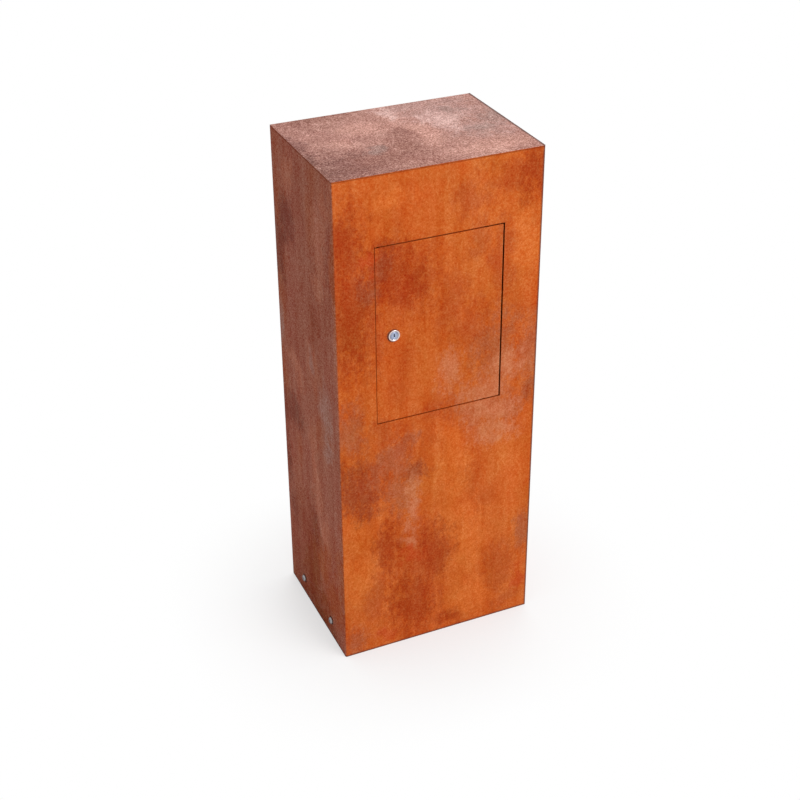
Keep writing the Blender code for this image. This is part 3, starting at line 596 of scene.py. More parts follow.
class Faces:
    """Where a point of the outer sheets lies, mostly as masks from 0 to 1."""

    def __init__(self, rust):
        self.spot = rust.parts(rust.place)
        slope = rust.parts(rust.normal)
        x, y, z = self.spot
        across = rust.sum("ABSOLUTE", x)
        self.is_rear = rust.sum("GREATER_THAN", y, 0.0)
        self.is_right = rust.sum("GREATER_THAN", x, 0.0)
        self.on_top = rust.product(
            rust.fade(slope["Z"], *TOP_SLOPE),
            rust.fade(z, COLUMN_HIGH.z, TOP - 0.001),
        )
        self.upright = rust.sum("SUBTRACT", 1.0, self.on_top)
        self.on_side = rust.product(
            rust.fade(rust.sum("ABSOLUTE", slope["X"]), *SIDE_SLOPE),
            rust.fade(across, SIDE - 0.010, SIDE - 0.004),
        )
        # The right fold, where shade is painted later
        self.on_right_fold = rust.product(
            rust.fade(x, SIDE - FOLD_START, SIDE - FOLD_END),
            rust.fade(slope["X"], *FOLD_SLOPE),
        )
        # The sheet's thickness round the opening and the leaf, not its outer ends
        self.on_cut_edge = rust.product(
            rust.fade(rust.sum("ABSOLUTE", slope["Y"]), *EDGE_SLOPE),
            rust.fade(y, FRONT + 0.0030, FRONT + 0.0022),
            rust.fade(across, SIDE - 0.010, SIDE - 0.020),
            rust.fade(z, COLUMN_HIGH.z - 0.005, COLUMN_HIGH.z - 0.010),
            rust.fade(z, 0.003, 0.010),
        )
        flat_place = rust.stretch(rust.place, (1.0, 1.0, 0.0))
        outward = rust.move("DOT_PRODUCT", rust.normal, flat_place)
        self.within = rust.product(self.upright, rust.fade(outward, *INNER_SLOPE))


def stain_mask(rust, ragged, stains, axes):
    """The highest of several soft spots. The axes name the face's two directions."""
    spots = []
    for stain in stains:
        across, up, half_width, half_height = (size / 1000 for size in stain)
        place, scale = [0.0] * 3, [0.0] * 3
        for axis, middle, half in zip(axes, (across, up), (half_width, half_height)):
            place[axis] = -middle / half
            scale[axis] = 1 / half
        inputs = {"Vector": ragged, "Location": place, "Scale": scale}
        spot = rust.add("ShaderNodeMapping", inputs).outputs["Vector"]
        inputs = {"Vector": spot}
        spot = rust.add("ShaderNodeTexGradient", inputs, gradient_type="SPHERICAL")
        spots.append(spot.outputs["Fac"])
    return rust.highest(*spots)


def stained(rust, ragged, torn, colours, stains, axes):
    """One face's ground colour, clouded and covered by its stains."""
    colour = colours.ground
    if "red" in stains:
        clouds = rust.noise(rust.drawn_out(0.5), scale=11.0, detail=3.0, roughness=0.55)
        cover = rust.fade(clouds, 0.48, 0.72, high=0.5)
        colour = rust.mix(cover, colour, colours.bright)
        cover = rust.fade(clouds, 0.48, 0.28, high=0.4)
        colour = rust.mix(cover, colour, colours.red)
    for tone, spots in stains.items():
        spots = stain_mask(rust, ragged, spots, axes)
        cover = rust.sum("MULTIPLY_ADD", torn, rust.fade(spots, 0.0, 0.3), spots)
        cover = rust.fade(cover, 0.05, 0.85, high=STAIN_COVER)
        colour = rust.mix(cover, colour, getattr(colours, tone))
    return colour


def stained_faces(rust, faces, settings):
    """The colours of the front and rear, the sides and the top, without grain."""
    drag = rust.noise(rust.place, scale=14.0, detail=4.0, output="Color")
    drag = rust.stretch(rust.move("SUBTRACT", drag, (0.5,) * 3), DRAG)
    ragged = rust.move("ADD", rust.place, drag)
    torn = rust.noise(rust.drawn_out(0.6), scale=80.0, detail=4.0, roughness=0.85)
    torn = rust.swing(torn, TEAR)
    ends_place = rust.move("ADD", ragged, rust.times(REAR_SHIFT, faces.is_rear))
    side_place = rust.move("ADD", ragged, rust.times(RIGHT_SHIFT, faces.is_right))
    ends = stained(rust, ends_place, torn, settings.front, FRONT_STAINS, (0, 2))
    side = stained(rust, side_place, torn, settings.side, SIDE_STAINS, (1, 2))
    top = stained(rust, ragged, torn, settings.top, TOP_STAINS, (0, 1))
    # The sides' and the top's palettes carry a painted sheen, and the top's dust as
    # well
    return rust.mix(faces.on_top, rust.mix(faces.on_side, ends, side), top)


def rust_grain(rust, faces, mottle, grains, size):
    """Grain for each channel: mottling, runs, and fine grains with dark specks, with
    painted glints in the top's grain.
    """
    on_top, on_side = faces.on_top, faces.on_side
    runs = rust.noise(rust.drawn_out(0.08), scale=45.0, detail=3.0, roughness=0.65)
    inputs = {"Vector": rust.place, "Scale": 0.55 / size, "Randomness": 1.0}
    specks = rust.add("ShaderNodeTexVoronoi", inputs).outputs["Distance"]
    coarse = rust.swing(mottle, MOTTLE)
    coarse = rust.sum("MULTIPLY_ADD", rust.swing(runs, RUNS), faces.upright, coarse)
    fine = rust.swing(grains, GRAINS)
    fine = rust.sum("ADD", fine, rust.fade(specks, 0.05, 0.25, SPECKS, 0.0))
    lively = rust.sum("MULTIPLY_ADD", on_top, TOP_COARSE, 1.0)
    lively = rust.sum("MULTIPLY_ADD", on_side, SIDE_COARSE, lively)
    sharp = rust.sum("MULTIPLY_ADD", on_top, TOP_FINE, 1.0)
    sharp = rust.sum("MULTIPLY_ADD", on_side, SIDE_FINE, sharp)
    grain = rust.sum("MULTIPLY_ADD", coarse, lively, rust.product(fine, sharp))
    tinted = rust.times(GRAIN_TINT, grain)
    # On the top the grain is stronger and even in all channels: dust with painted
    # glints
    dust_and_sheen = rust.times(TOP_GRAIN_TINT, rust.product(grain, on_top))
    return rust.move("ADD", tinted, dust_and_sheen)


def hue_film(rust, faces):
    """A slow change of hue, weaker on the sides and the top."""
    film = rust.noise(rust.drawn_out(0.6), scale=9.0, detail=5.0, roughness=0.75)
    on_side = rust.sum("MULTIPLY_ADD", faces.on_side, SIDE_FILM, 1.0)
    on_top = rust.sum("MULTIPLY_ADD", faces.on_top, TOP_FILM, 1.0)
    film = rust.product(rust.sum("SUBTRACT", film, 0.5), on_side, on_top)
    return rust.times(FILM_TINT, film)


def painted_shade(rust, faces):
    """Painted shade along the base, the right folds and the top's right rim, a painted
    shadow to the left of the lock, and painted shade round the screws."""
    x, _, z = faces.spot
    # Painted shade along the base
    base = rust.fade(z, BASE_REACH, 0.0, high=BASE_SHADE)
    # Painted shade along the right fold
    fold = rust.product(faces.on_right_fold, FOLD_SHADE)
    # Painted shade along the top's right rim
    rim = rust.fade(x, SIDE - RIM_REACH, SIDE, high=RIM_SHADE)
    rim = rust.product(faces.on_top, rim)
    # A painted shadow round the lock, moved to its left
    head = (LOCK_HIGH.x - LOCK_LOW.x) / 2
    lock = (LOCK_AXIS[0] - LOCK_SHADOW_SHIFT, FRONT, LOCK_AXIS[1])
    to_lock = rust.move("LENGTH", rust.move("SUBTRACT", rust.place, lock))
    round_lock = rust.fade(to_lock, head + LOCK_REACH, head, high=LOCK_SHADE)
    # Painted shade round the screws
    screw = middle_of("foot_screw_right_rear")
    to_screw = rust.move("ABSOLUTE", rust.place)
    to_screw = rust.move("SUBTRACT", to_screw, (0.0, screw.y, screw.z))
    to_screw = rust.move("LENGTH", rust.stretch(to_screw, (0.0, 1.0, 1.0)))
    round_screw = rust.fade(to_screw, SCREW_REACH, SCREW_CORE, high=SCREW_SHADE)
    round_screw = rust.product(round_screw, faces.on_side)
    return rust.highest(base, fold, rim, round_lock, round_screw)


def weathering_steel(settings):
    """Rust on the outer sheets: stains, runs, scale, dust with painted sheen, and
    painted shade.
    """
    rust = Finish("weathering_steel")
    faces = Faces(rust)
    colours = settings.rust
    mottle = rust.noise(rust.drawn_out(0.8), scale=30.0, detail=5.0, roughness=0.9)
    grains = rust.noise(rust.place, 1 / colours.grain, detail=2.0, roughness=0.9)
    grain = rust_grain(rust, faces, mottle, grains, colours.grain)
    colour = stained_faces(rust, faces, settings)
    colour = rust.grained(colour, rust.move("ADD", grain, hue_film(rust, faces)))

    top_edge = COLUMN_HIGH.z
    height = faces.spot["Z"]
    seam = rust.fade(height, top_edge - SEAM_REACH, top_edge, high=SEAM_DIRT)
    colour = rust.mix(rust.product(seam, faces.upright), colour, colours.edge)
    # Painted shade along the base, the right fold and the top's right rim, and round
    # the lock and the screws
    colour = rust.mix(painted_shade(rust, faces), colour, colours.painted_shade_colour)
    dark = rust.mix(rust.fade(mottle, 0.4, 0.6), colours.inside, colours.edge)
    colour = rust.mix(faces.within, colour, rust.grained(dark, grain))
    colour = rust.mix(faces.on_cut_edge, colour, colours.cut)

    roughness = rust.fade(mottle, 0.3, 0.7, low=0.70, high=0.92)
    scale = rust.sum("MULTIPLY_ADD", grains, 0.6, mottle)
    rust.shader.inputs["Specular IOR Level"].default_value = 0.12
    return rust.end(colour, roughness, scale, colours.scale_depth)


def sheltered_steel(settings):
    """Darker, duller rust on the pieces inside the column."""
    rust = Finish("sheltered_steel")
    colours = settings.rust
    place = rust.place
    clouds = rust.noise(place, scale=22.0, detail=4.0, roughness=0.6)
    mottle = rust.noise(place, 0.9 / colours.grain, detail=3.0, roughness=0.65)
    colour = rust.mix(rust.fade(clouds, 0.35, 0.65), colours.inside, colours.edge)
    blush = rust.noise(place, scale=60.0, detail=4.0, roughness=0.7)
    blush = rust.fade(blush, 0.50, 0.72, high=0.55)
    colour = rust.mix(blush, colour, colours.inside_red)
    shade = rust.fade(mottle, 0.25, 0.75, low=0.75, high=1.25)
    inputs = {"Red": shade, "Green": shade, "Blue": shade}
    grey = rust.add("ShaderNodeCombineColor", inputs).outputs["Color"]
    colour = rust.mix(1.0, colour, grey, "MULTIPLY")
    roughness = rust.fade(mottle, 0.2, 0.8, low=0.65, high=0.92)
    rust.shader.inputs["Specular IOR Level"].default_value = 0.0
    return rust.end(colour, roughness, mottle, colours.scale_depth)


def plated_metal(name, settings):
    """Bare or plated metal: fine grain, cloudy dulling and a little tarnish."""
    source, roughness, blotch, grain, depth = METALS[name]
    colour = list(getattr(settings.metal, source))
    metal = Finish(name)
    clouds = metal.noise(metal.place, blotch, detail=4.0, roughness=0.6)
    fine = metal.noise(metal.place, grain, detail=3.0, roughness=0.6)
    tarnish = [0.55 * channel for channel in colour]
    worn = metal.mix(metal.fade(clouds, 0.45, 0.75, high=0.5), colour, tarnish)
    worn = metal.mix(metal.fade(fine, 0.3, 0.7, high=0.2), worn, tarnish)
    dull = metal.fade(clouds, 0.25, 0.75, 0.75 * roughness, 1.35 * roughness)
    metal.shader.inputs["Specular Tint"].default_value = (*colour, 1.0)
    return metal.end(worn, dull, fine, depth, metallic=1.0)


def moulded_nylon(settings):
    """Off-white moulded plastic with faint marks."""
    plastic = Finish("moulded_nylon")
    clouds = plastic.noise(plastic.place, scale=220.0, detail=3.0)
    fine = plastic.noise(plastic.place, scale=2600.0, detail=2.0)
    base = list(settings.metal.nylon)
    soiled = [0.6 * channel for channel in base]
    colour = plastic.mix(plastic.fade(clouds, 0.4, 0.8, high=0.5), base, soiled)
    roughness = plastic.fade(fine, 0.2, 0.8, low=0.4, high=0.6)
    return plastic.end(colour, roughness, fine, distance=0.00005)


def finish_of(name):
    """The shared material of that name, made when it is first asked for."""
    if name not in FINISHES:
        settings = bpy.context.scene.rusty_mailbox
        if name in METALS:
            FINISHES[name] = plated_metal(name, settings)
        else:
            makers = (weathering_steel, sheltered_steel, moulded_nylon)
            maker = {maker.__name__: maker for maker in makers}[name]
            FINISHES[name] = maker(settings)
    return FINISHES[name]


def linked(name, data):
    """A new object in the scene."""
    obj = bpy.data.objects.new(name, data)
    bpy.context.scene.collection.objects.link(obj)
    return obj


def dress(nodes, finish):
    """Gives solids of the frame their finish."""
    for node in nodes:
        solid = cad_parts[node]
        solid.data.materials.clear()
        solid.data.materials.append(finish_of(finish))


def add_piece(name, mesh, finish, body, node):
    """Puts a new piece on its body, in place of the solid that it stands for."""
    piece = linked(name, mesh)
    mesh.materials.append(finish_of(finish))
    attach(piece, body)
    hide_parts(node)


def add_sheet(name, mesh, body, node):
    """Puts a finished sheet of rusted steel on its body."""
    add_piece(name, mesh, "weathering_steel", body, node)


def mesh_from(bm, name):
    """A mesh of what was drawn in the editor's own form, which goes."""
    mesh = bpy.data.meshes.new(name)
    bm.to_mesh(mesh)
    bm.free()
    return mesh


def final_mesh(obj):
    """An object's mesh with its modifiers done. The object goes."""
    bpy.context.view_layer.update()
    graph = bpy.context.evaluated_depsgraph_get()
    mesh = bpy.data.meshes.new_from_object(obj.evaluated_get(graph))
    bpy.data.objects.remove(obj)
    return mesh


def skin(rows, transform, ring=False):
    """A mesh over rows of points, each once round the axis, or one point at a tip.

    With ring, the last row joins the first, as round a hole.
    """
    bm = bmesh.new()
    made = [[bm.verts.new(transform @ Vector(point)) for point in row] for row in rows]
    pairs = list(zip(made, made[1:]))
    if ring:
        pairs.append((made[-1], made[0]))
    for upper, lower in pairs:
        count = max(len(upper), len(lower))
        for i in range(count):
            j = (i + 1) % count
            if len(upper) == 1:
                corners = (upper[0], lower[i], lower[j])
            elif len(lower) == 1:
                corners = (upper[i], lower[0], upper[j])
            else:
                corners = (upper[i], lower[i], lower[j], upper[j])
            bm.faces.new(corners)
    bmesh.ops.recalc_face_normals(bm, faces=bm.faces)
    mesh = mesh_from(bm, "skin")
    mesh.shade_smooth()
    mesh.set_sharp_from_angle(angle=SHARP)
    return mesh


def around(sides):
    """An angle with its cosine and sine for each step round the axis."""
    for i in range(sides):
        angle = math.tau * i / sides
        yield angle, math.cos(angle), math.sin(angle)


def circle(radius, height, sides):
    """A row of points round the axis. A radius of 0 gives one point."""
    if radius == 0:
        return [(0.0, 0.0, height)]
    return [(radius * x, radius * y, height) for _, x, y in around(sides)]


def rings(profile, sides):
    """Rows for (radius, height) points turned about the axis."""
    return [circle(radius, height, sides) for radius, height in profile]


def polygon_row(corner_radius, corners, height, sides):
    """A row on a regular polygon round the axis."""
    row = []
    sector = math.tau / corners
    flat = corner_radius * math.cos(sector / 2)
    for angle, x, y in around(sides):
        radius = flat / math.cos((angle % sector) - sector / 2)
        row.append((radius * x, radius * y, height))
    return row


def box_row(half_width, half_height, height, sides):
    """A row on a rectangle round the axis."""
    row = []
    tiny = 1e-9
    for _, x, y in around(sides):
        reach = min(half_width / max(abs(x), tiny), half_height / max(abs(y), tiny))
        row.append((reach * x, reach * y, height))
    return row


def thread_rows(radius, pitch, start, end, sides, flat=math.inf):
    """Rows down a right-hand thread. A flat cuts its two sides off."""
    depth = THREAD_DEPTH * pitch
    steps_per_turn = 6
    count = round((start - end) / pitch * steps_per_turn)
    rows = []
    for step in range(count + 1):
        height = start + (end - start) * step / count
        edge = min(step, count - step, steps_per_turn) / steps_per_turn
        row = []
        for i, (_, x, y) in enumerate(around(sides)):
            phase = (height / pitch - i / sides) % 1.0
            reach = radius - depth * edge * (1 - abs(2 * phase - 1))
            row.append((max(-flat, min(flat, reach * x)), reach * y, height))
        rows.append(row)
    return rows


def quarter(centre, radius, start, end, steps):
    """Points of a rounded corner in a profile."""
    points = []
    for i in range(steps + 1):
        angle = start + (end - start) * i / steps
        points.append(
            (centre[0] + radius * math.cos(angle), centre[1] + radius * math.sin(angle))
        )
    return points


def placed(direction, x, y, z):
    """A turn followed by a move to a point."""
    return Matrix.Translation((x, y, z)) @ direction


def middle_of(node):
    """The middle of a solid's box."""
    low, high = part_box(node)
    return (low + high) / 2


def folded_sheet(name, path, levels, missing, settings):
    """A sheet folded along a path in plan, with one cell left out as its opening."""
    sheets = settings.sheets
    bm = bmesh.new()
    rows = [[bm.verts.new((x, y, z)) for x, y in path] for z in levels]
    for row in range(len(levels) - 1):
        for column in range(len(path) - 1):
            if (column, row) != missing:
                lower, upper = (r[column : column + 2] for r in rows[row : row + 2])
                bm.faces.new((*lower, *reversed(upper)))
    sheet = linked(name, mesh_from(bm, name))
    bends = sheet.modifiers.new("Bends", "BEVEL")
    bends.width = sheets.bend_radius
    bends.segments = BEND_STEPS
    metal = sheet.modifiers.new("Metal", "SOLIDIFY")
    metal.thickness = sheets.thickness
    metal.offset = -1
    metal.use_even_offset = True
    return sheet


def soften(sheet, settings):
    """Rounds a sheet's cut edges, keeps its faces flat and returns the final mesh."""
    edges = sheet.modifiers.new("Edges", "BEVEL")
    edges.width = settings.sheets.edge_round
    edges.segments = EDGE_STEPS
    edges.limit_method = "ANGLE"
    edges.angle_limit = WORN
    sheet.modifiers.new("Normals", "WEIGHTED_NORMAL")
    sheet.data.shade_smooth()
    return final_mesh(sheet)


def flat_sheet(name, outlines, thickness, transform):
    """A flat sheet of the first outline, with the other outlines as its holes."""
    curve = bpy.data.curves.new(name, "CURVE")
    curve.dimensions = "2D"
    curve.fill_mode = "BOTH"
    curve.extrude = thickness / 2
    for outline in outlines:
        spline = curve.splines.new("POLY")
        spline.points.add(len(outline) - 1)
        for point, (x, y) in zip(spline.points, outline):
            point.co = (x, y, 0, 1)
        spline.use_cyclic_u = True
    mesh = final_mesh(linked(name, curve))
    bm = bmesh.new()
    bm.from_mesh(mesh)
    bmesh.ops.remove_doubles(bm, verts=bm.verts, dist=1e-6)
    bmesh.ops.dissolve_limit(
        bm, angle_limit=math.radians(1), verts=bm.verts, edges=bm.edges
    )
    bm.to_mesh(mesh)
    bm.free()
    mesh.transform(transform)
    return linked(name, mesh)


class MAILBOX_OT_column(bpy.types.Operator):
    """Folds the column's front and sides from one sheet, with the door's opening"""

    bl_idname = "rusty_mailbox.column"
    bl_label = "Column"

    def execute(self, context):
        settings = context.scene.rusty_mailbox
        sheets = settings.sheets
        left = LEAF_LOW.x - sheets.lock_gap
        right = LEAF_HIGH.x + sheets.hinge_gap
        bottom = LEAF_LOW.z - sheets.door_gap
        top = LEAF_HIGH.z + sheets.door_gap
        path = [(-SIDE, REAR), (-SIDE, FRONT), (left, FRONT)]
        path += [(right, FRONT), (SIDE, FRONT), (SIDE, REAR)]
        levels = [COLUMN_LOW.z, bottom, top, COLUMN_HIGH.z]
        sheet = folded_sheet("column", path, levels, (2, 1), settings)
        drills = []
        for end in ("front", "rear"):
            middle = middle_of(f"foot_screw_left_{end}")
            radius, start, length = sheets.hole_radius, -SIDE * 2, SIDE * 4
            profile = [(0, length), (radius, length), (radius, 0), (0, 0)]
            place = placed(FACING_RIGHT, start, middle.y, middle.z)
            drill = linked(f"drill_{end}", skin(rings(profile, SMALL_SIDES), place))
            hole = sheet.modifiers.new("Hole", "BOOLEAN")
            hole.operation = "DIFFERENCE"
            hole.solver = "EXACT"
            hole.object = drill
            drills.append(drill)
        mesh = soften(sheet, settings)
        for drill in drills:
            bpy.data.objects.remove(drill)
        add_sheet("folded_column", mesh, "column", "column_wrap")
        return {"FINISHED"}


class MAILBOX_OT_rear_panel(bpy.types.Operator):
    """Folds the rear panel, with its letter slot"""

    bl_idname = "rusty_mailbox.rear_panel"
    bl_label = "Rear panel"

    def execute(self, context):
        settings = context.scene.rusty_mailbox
        sheets = settings.sheets
        slot_side = SIDE - sheets.slot_inset
        slot_top = TOP - sheets.slot_drop
        inner, outer = REAR_LOW.y, REAR_HIGH.y
        path = [(REAR_HIGH.x, inner), (REAR_HIGH.x, outer), (slot_side, outer)]
        path += [(-slot_side, outer), (REAR_LOW.x, outer), (REAR_LOW.x, inner)]
        levels = [REAR_LOW.z, slot_top - sheets.slot_height, slot_top, REAR_HIGH.z]
        sheet = folded_sheet("rear", path, levels, (2, 1), settings)
        mesh = soften(sheet, settings)
        add_sheet("slotted_rear_panel", mesh, "column", "rear_panel")
        return {"FINISHED"}


class MAILBOX_OT_top_plate(bpy.types.Operator):
    """Cuts the top plate, with its front corners rounded to the folds below"""

    bl_idname = "rusty_mailbox.top_plate"
    bl_label = "Top plate"

    def execute(self, context):
        settings = context.scene.rusty_mailbox
        radius = settings.sheets.bend_radius
        side, front = SIDE - radius, FRONT + radius
        quarters = ((-side, math.pi, 1.5 * math.pi), (side, -0.5 * math.pi, 0))
        outline = [(SIDE, REAR), (-SIDE, REAR)]
        for across, start, end in quarters:
            outline += quarter((across, front), radius, start, end, CORNER_STEPS)
        middle = Matrix.Translation((0, 0, (TOP_LOW.z + TOP_HIGH.z) / 2))
        sheet = flat_sheet("top", [outline], TOP_HIGH.z - TOP_LOW.z, middle)
        add_sheet("top_sheet", soften(sheet, settings), "column", "top_plate")
        return {"FINISHED"}


class MAILBOX_OT_door(bpy.types.Operator):
    """Cuts the door's leaf, with the lock's hole"""

    bl_idname = "rusty_mailbox.door"
    bl_label = "Door"

    def execute(self, context):
        settings = context.scene.rusty_mailbox
        lock = settings.lock
        across, up = LOCK_AXIS
        flat = lock.barrel_flat + CLEARANCE
        hole = []
        for x, y, _ in circle(lock.barrel_radius + CLEARANCE, 0, SMALL_SIDES):
            hole.append((across + max(-flat, min(flat, x)), up + y))
        outline = [(LEAF_LOW.x, LEAF_LOW.z), (LEAF_HIGH.x, LEAF_LOW.z)]
        outline += [(LEAF_HIGH.x, LEAF_HIGH.z), (LEAF_LOW.x, LEAF_HIGH.z)]
        middle = placed(FACING_FRONT, 0, (LEAF_LOW.y + LEAF_HIGH.y) / 2, 0)
        thickness = LEAF_HIGH.y - LEAF_LOW.y
        sheet = flat_sheet("leaf", [outline, hole], thickness, middle)
        add_sheet("door_sheet", soften(sheet, settings), "door", "door_leaf")
        return {"FINISHED"}


class MAILBOX_OT_lock_barrel(bpy.types.Operator):
    """Turns the lock's head and threaded barrel"""

    bl_idname = "rusty_mailbox.lock_barrel"
    bl_label = "Lock barrel"

    def execute(self, context):
        lock = context.scene.rusty_mailbox.lock
        across, up = LOCK_AXIS
        head_radius = (LOCK_HIGH.x - LOCK_LOW.x) / 2
        radius, flat = lock.barrel_radius, lock.barrel_flat
        front, end = -LOCK_LOW.y, -LOCK_HIGH.y
        seat = front - lock.head_height
        bore = lock.face_radius + CLEARANCE
        inner_bore = lock.plug_radius + CLEARANCE
        ledge = -PLUG_LOW.y - PLUG_FACE_THICKNESS - CLEARANCE
        lip, rim, thread_drop = 0.0003, 0.0009, 0.0001
        profile = [(bore, ledge), (bore, front - 2 * lip), (bore + lip, front - lip)]
        profile.append((bore + 2 * lip, front))
        rim_middle = (head_radius - rim, front - rim)
        profile += quarter(rim_middle, rim, math.pi / 2, 0, 6)
        profile += [(head_radius, seat + lip / 2), (head_radius - lip / 2, seat)]
        rows = rings(profile, ROUND_SIDES)
        neck = circle(radius, seat, ROUND_SIDES)
        rows.append([(max(-flat, min(flat, x)), y, z) for x, y, z in neck])
        start, stop = seat - thread_drop, end + lip
        rows += thread_rows(radius, lock.barrel_pitch, start, stop, ROUND_SIDES, flat)
        profile = [(inner_bore + lip, end), (inner_bore, end + lip)]
        profile.append((inner_bore, ledge))
        rows += rings(profile, ROUND_SIDES)
        mesh = skin(rows, placed(FACING_FRONT, across, 0, up), ring=True)
        add_piece("lock_barrel", mesh, "bright_chrome", "door", "lock_body")
        return {"FINISHED"}


class MAILBOX_OT_lock_plug(bpy.types.Operator):
    """Turns the plug that the key turns, with its keyway and square drive"""

    bl_idname = "rusty_mailbox.lock_plug"
    bl_label = "Lock plug"

    def execute(self, context):
        lock = context.scene.rusty_mailbox.lock
        across, up = LOCK_AXIS
        face, body = lock.face_radius, lock.plug_radius
        front, end = -PLUG_LOW.y, -PLUG_HIGH.y
        back = front - PLUG_FACE_THICKNESS
        drive = -LOCK_HIGH.y - CLEARANCE
        half_drive, edge = 0.004, 0.0003
        keyway_depth, dish = 0.008, 0.0004
        bottom = front - keyway_depth
        half_width, half_height = lock.keyway_width / 2, lock.keyway_height / 2
        rows = [[(0.0, 0.0, bottom)]]
        for wider, height in ((0.0, bottom), (0.0, front - edge), (edge, front)):
            half_sizes = (half_width + wider, half_height + wider)
            rows.append(box_row(*half_sizes, height, ROUND_SIDES))
        profile = [(face - 0.0022, front), (face - 0.0019, front - dish)]
        profile += [(face - 0.0013, front - dish), (face - 0.0010, front)]
        profile += [(face - edge, front), (face, front - edge), (face, back)]
        profile += [(body, back), (body, drive)]
        rows += rings(profile, ROUND_SIDES)
        for less, height in ((0.0, drive), (0.0, end + edge), (edge, end)):
            half = half_drive - less
            rows.append(box_row(half, half, height, ROUND_SIDES))
        rows.append([(0.0, 0.0, end)])
        mesh = skin(rows, placed(FACING_FRONT, across, 0, up))
        add_piece(
            "lock_plug_keyed", mesh, "satin_chrome", "lock_core", "lock_plug"
        )
        return {"FINISHED"}


class MAILBOX_OT_foot_screws(bpy.types.Operator):
    """Turns the four button-head screws, with hexagon sockets and threads"""

    bl_idname = "rusty_mailbox.foot_screws"
    bl_label = "Foot screws"

    def execute(self, context):
        sizes = context.scene.rusty_mailbox.fasteners
        for side, turn in (("left", FACING_LEFT), ("right", FACING_RIGHT)):
            for end in ("front", "rear"):
                self.add_screw(sizes, side, end, turn)
        return {"FINISHED"}

    def add_screw(self, sizes, side, end, turn):
        node = f"foot_screw_{side}_{end}"
        low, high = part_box(node)
        middle = (low + high) / 2
        head_radius = (high.y - low.y) / 2
        radius, head = sizes.thread_radius, sizes.head_height
        tail = head - (high.x - low.x)
        socket = sizes.socket / math.sqrt(3)
        bottom = head - sizes.socket_depth
        # The head's flat middle, its rim, worn edges, the point of the socket's drill,
        # and the thread's first and last plain stretch and taper
        flat, rim, edge, drill_point = 0.0034, 0.0008, 0.00025, 0.0006
        neck, plain_tail, taper = 0.001, 0.0006, 0.0009
        rows = [[(0.0, 0.0, bottom - drill_point)]]
        mouth = ((socket, bottom), (socket, head - edge), (socket + edge, head))
        for corner, height in mouth:
            rows.append(polygon_row(corner, HEXAGON, height, SMALL_SIDES))
        profile = []
        for i in range(CORNER_STEPS + 1):
            angle = math.pi / 2 * i / CORNER_STEPS
            bulge = flat + (head_radius - flat) * math.sin(angle)
            profile.append((bulge, rim + (head - rim) * math.cos(angle)))
        profile += [(head_radius, edge), (head_radius - edge, 0.0), (radius, 0.0)]
        rows += rings(profile, SMALL_SIDES)
        rows += thread_rows(radius, sizes.pitch, -neck, tail + plain_tail, SMALL_SIDES)
        rows += rings([(radius - taper, tail), (0, tail)], SMALL_SIDES)
        seat = (low.x + head) if side == "left" else (high.x - head)
        mesh = skin(rows, placed(turn, seat, middle.y, middle.z))
        name = f"button_screw_{side}_{end}"
        add_piece(name, mesh, "dull_stainless", "column", node)


class MAILBOX_OT_inner_pieces(bpy.types.Operator):
    """Gives the sheets inside the column their dark rust"""

    bl_idname = "rusty_mailbox.inner_pieces"
    bl_label = "Inner pieces"

    def execute(self, context):
        sheets = ["mail_floor", "strike_angle", "door_stop_top", "door_stop_bottom"]
        sheets += ["hinge_bracket_upper", "hinge_bracket_lower", "hinge_strip"]
        sheets += ["flap_ear_left", "flap_ear_right", "letter_flap"]
        dress(sheets, "sheltered_steel")
        return {"FINISHED"}


class MAILBOX_OT_hardware(bpy.types.Operator):
    """Gives the foot plate, nuts, washers, pins and rod their finish"""

    bl_idname = "rusty_mailbox.hardware"
    bl_label = "Hardware"

    def execute(self, context):
        plated = ["foot_plate", "lock_washer", "lock_nut", "lock_cam"]
        plated += ["cam_washer", "cam_screw"]
        for side in ("left", "right"):
            plated += [f"rivet_nut_{side}_{end}" for end in ("front", "rear")]
        dress(plated, "dull_zinc")
        pins = ("hinge_pin_upper", "hinge_pin_lower", "flap_rod", "rod_clip")
        dress(pins, "dull_stainless")
        dress(("thrust_washer_upper", "thrust_washer_lower"), "moulded_nylon")
        return {"FINISHED"}


def add_lamp(name, direction, power):
    """A large square lamp that looks at the mailbox."""
    light = bpy.data.lights.new(name, "AREA")
    light.size = LAMP_SIZE
    light.energy = power
    lamp = linked(name, light)
    away = Vector(direction).normalized()
    lamp.location = Vector(LAMP_AIM) + away * LAMP_DISTANCE
    lamp.rotation_euler = (-away).to_track_quat("-Z", "Y").to_euler()


def picture_ray(nodes):
    """1 on the rays that draw a background: seen, mirrored or seen through."""
    path = nodes.add("ShaderNodeLightPath").outputs
    through = path["Is Transmission Ray"]
    return nodes.highest(path["Is Camera Ray"], path["Is Glossy Ray"], through)


